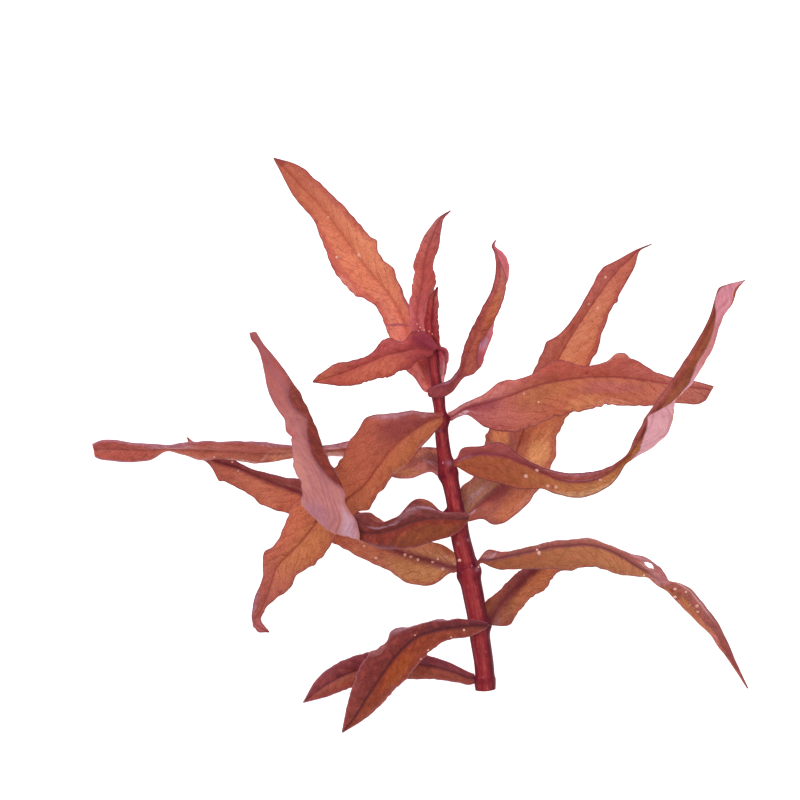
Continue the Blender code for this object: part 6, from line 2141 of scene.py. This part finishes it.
LEAF_8_LEFT = Blade(
    "leaf_8_left",
    "shaded_leaf",
    BladeFinish(
        left=Tones((149, 70, 50), (153, 64, 36), (150, 70, 46)),
        right=Tones((98, 40, 52), (123, 48, 46), (140, 62, 54)),
        under=Tones((200, 150, 160), (200, 150, 160), (190, 120, 120)),
        midrib=(88, 30, 40),
        vein=(112, 40, 36),
        midrib_width=1.0,
        midrib_strength=0.75,
        # The lilac rim is painted sheen along the margins
        rim=(150, 104, 120),
        rim_start=0.0,
        patches=(
            # Painted highlight: pale lilac along the right margin
            Patch((196, 166, 186), 0.3, 1.0, (0.22, 0.35), 0.7),
            Patch((178, 86, 36), 0.55, -0.5, (0.16, 0.4), 0.6),
            Patch((174, 112, 112), 0.55, 0.9, (0.06, 0.2), 0.65),
        ),
    ),
    (
        (13.2, -36.6, 7.1, 13.5, -36.2, 7.2, 13.6, -35.9, 7.2, 13.4, -35.6, 7.2),
        (12.2, -37.3, 7.2, 12.0, -36.2, 7.4, 11.9, -35.6, 7.5, 11.7, -35.1, 7.4),
        (10.0, -38.3, 7.3, 9.8, -36.2, 7.7, 9.5, -35.3, 7.9, 9.3, -34.9, 7.8),
        (6.4, -38.8, 7.6, 6.0, -36.6, 8.4, 5.6, -35.5, 8.8, 6.2, -34.3, 8.3),
        (4.0, -39.8, 7.6, 2.4, -37.2, 8.8, 2.0, -36.0, 9.2, 2.4, -35.1, 8.7),
        (1.6, -41.8, 7.2, -0.8, -38.5, 8.8, -1.6, -37.2, 9.2, -1.6, -36.3, 8.9),
        (-0.4, -43.8, 6.6, -3.4, -40.6, 8.2, -4.4, -39.2, 8.6, -5.6, -36.9, 8.1),
        (-2.2, -46.2, 5.6, -5.8, -43.4, 7.2, -6.8, -42.2, 7.5, -8.2, -40.8, 7.1),
        (-5.0, -49.0, 4.3, -8.2, -46.8, 5.7, -9.6, -45.4, 5.9, -11.6, -43.8, 5.5),
        (-7.6, -51.8, 2.7, -10.4, -50.2, 3.9, -11.6, -49.2, 4.1, -13.3, -47.8, 3.8),
        (-10.4, -54.4, 1.2, -12.4, -53.4, 2.0, -13.3, -52.8, 2.2, -14.6, -52.0, 2.0),
        (-13.0, -56.2, 0.4, -14.0, -55.7, 0.8, -14.6, -55.4, 0.9, -15.2, -55.0, 0.9),
        (-15.6, -57.6, 0.4),
    ),
    places=(-1.0, 0.0, 0.55, 1.0),
    waves=3.0,
    wave_height=0.12,
    vein_spacing=2.8,
    right_lobes=(Lobe(0.2, 0.035, -0.9), Lobe(0.495, 0.025, -0.75), Lobe(0.58, 0.03, 0.9)),
    seed=81,
)

LEAF_8_RIGHT = Blade(
    "leaf_8_right",
    "old_leaf",
    BladeFinish(
        left=Tones((160, 92, 62), (140, 74, 72), (156, 78, 62)),
        right=Tones((150, 92, 62), (198, 117, 73), (184, 96, 74)),
        under=Tones((200, 140, 125), (205, 135, 120), (195, 115, 105)),
        midrib=(116, 40, 44),
        vein=(136, 58, 44),
        midrib_width=2.4,
        midrib_strength=0.95,
        patches=(
            Patch((122, 84, 96), 0.45, -1.0, (0.26, 0.25), 0.35),
            Patch((150, 66, 64), 0.14, 0.9, (0.08, 0.4), 0.5),
            Patch((172, 120, 118), 0.06, 0.6, (0.05, 0.5), 0.6),
        ),
    ),
    (
        (13.0, -31.6, 3.1, 13.8, -34.8, 3.4, 13.9, -36.0, 3.3),
        (14.6, -30.2, 2.7, 16.0, -32.2, 2.9, 17.4, -36.1, 2.6),
        (17.0, -28.2, 2.3, 18.4, -29.4, 2.1, 20.2, -32.9, 1.8),
        (19.2, -25.8, 1.9, 20.8, -26.9, 1.5, 22.4, -30.5, 1.1),
        (21.4, -24.2, 1.5, 23.2, -24.9, 0.9, 25.6, -28.6, 0.8),
        (24.6, -22.4, 1.1, 26.2, -23.4, 0.5, 27.4, -25.7, 0.6),
        (28.6, -21.2, 0.8, 29.6, -22.4, 0.3, 30.4, -24.0, 0.5),
        (32.6, -20.8, 0.6, 33.0, -21.6, 0.3, 33.4, -22.8, 0.4),
        (36.0, -21.2, 0.4),
    ),
    waves=3.0,
    wave_height=0.2,
    left_lobes=(Lobe(0.275, 0.03, 0.3),),
    right_lobes=(Lobe(0.55, 0.03, -0.45), Lobe(0.74, 0.06, 1.0), Lobe(0.15, 0.03, 0.25)),
    seed=82,
)

LEAF_9_LEFT = Blade(
    "leaf_9_left",
    "shaded_leaf",
    BladeFinish(
        left=Tones((150, 72, 56), (158, 78, 56), (160, 76, 60)),
        right=Tones((126, 56, 66), (130, 58, 66), (140, 64, 64)),
        under=Tones((200, 145, 150), (200, 145, 150), (190, 120, 120)),
        midrib=(98, 36, 46),
        vein=(118, 44, 44),
        # The lilac rim is painted sheen along the margins
        rim=(150, 112, 132),
    ),
    (
        (10.3, -48.0, 1.5, 10.4, -46.8, 1.6, 10.2, -45.6, 1.8),
        (7.6, -47.6, 1.2, 7.0, -45.6, 1.7, 6.0, -43.6, 2.3),
        (3.4, -47.0, 1.1, 3.0, -44.4, 1.8, 2.0, -42.3, 2.5),
        (-1.6, -47.0, 0.7, -1.6, -43.8, 1.5, -2.0, -41.0, 2.4),
        (-6.6, -47.2, 0.4, -6.4, -44.0, 1.1, -6.8, -40.9, 2.0),
        (-10.8, -47.8, 0.3, -11.2, -44.8, 0.7, -11.8, -41.8, 1.6),
        (-14.8, -49.0, 0.3, -15.8, -46.4, 0.4, -16.6, -43.7, 1.1),
        (-18.4, -50.4, 0.3, -19.6, -48.6, 0.3, -20.6, -46.8, 0.7),
        (-23.4, -51.6, 0.4),
    ),
    waves=3.0,
    wave_height=0.2,
    seed=91,
)

LEAVES = (
    LEAF_1_FRONT, LEAF_1_BACK, LEAF_2_LEFT, LEAF_2_RIGHT, LEAF_3_LEFT, LEAF_3_RIGHT,
    LEAF_4_LEFT, LEAF_4_RIGHT, LEAF_5_LEFT, LEAF_5_RIGHT, LEAF_6_LEFT, LEAF_6_RIGHT,
    LEAF_7_LEFT, LEAF_7_RIGHT, LEAF_8_LEFT, LEAF_8_RIGHT, LEAF_9_LEFT,
)

GAS_BEADS = GasBeads(
    beads=(
        (-8.8, -22.6, 0.41), (-3.0, -22.0, 0.39), (-1.8, -22.4, 0.39), (-0.4, -23.0, 0.39),
        (2.6, -23.4, 0.41), (3.6, -22.8, 0.32), (5.4, -22.4, 0.3), (4.6, -24.8, 0.41),
        (7.0, -23.8, 0.34), (8.0, -23.0, 0.34), (-11.2, -20.2, 0.3), (-11.6, -19.6, 0.23),
        (-12.0, -19.2, 0.25), (11.6, -24.4, 0.21), (23.8, -21.6, 0.5), (23.4, -20.9, 0.32),
        (44.8, -26.0, 0.32), (51.0, -28.8, 0.41), (51.0, -30.4, 0.39), (53.2, -29.4, 0.28),
        (54.0, -32.0, 0.3), (55.4, -32.2, 0.41), (55.6, -33.4, 0.37), (23.4, -5.0, 0.48),
        (21.2, -6.2, 0.46), (25.6, -8.2, 0.41), (27.2, -8.4, 0.46), (36.0, -7.0, 0.39),
        (1.8, 22.7, 0.25), (2.5, 22.2, 0.21), (0.8, 23.0, 0.21), (0.0, 23.5, 0.16),
        (-0.6, 24.2, 0.16), (-0.3, 22.8, 0.14), (-12.2, 38.0, 0.48), (-16.6, 37.6, 0.39),
        (-18.4, 45.6, 0.25), (37.2, 33.6, 0.28), (35.6, 27.4, 0.3), (33.8, 28.2, 0.25),
        (20.8, 10.2, 0.28), (23.7, 8.6, 0.25), (8.8, -37.0, 0.28), (6.2, -38.4, 0.23),
        (-1.0, -38.0, 0.28), (1.6, -41.0, 0.28), (0.2, -42.8, 0.3), (-41.2, -2.4, 0.23),
        (-37.6, -3.4, 0.25), (-36.4, -5.2, 0.25),
    )
)


def main() -> None:
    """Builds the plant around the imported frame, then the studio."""
    logging.basicConfig(level=logging.INFO, format="%(name)s: %(message)s")
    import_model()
    stem_line, _ = STEM.centre_line()
    pieces = [STEM.build()]
    pieces += [blade.build(stem_line) for blade in LEAVES]
    GAS_BEADS.build(pieces)
    Studio().build()
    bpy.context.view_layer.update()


if __name__ == "__main__":
    main()
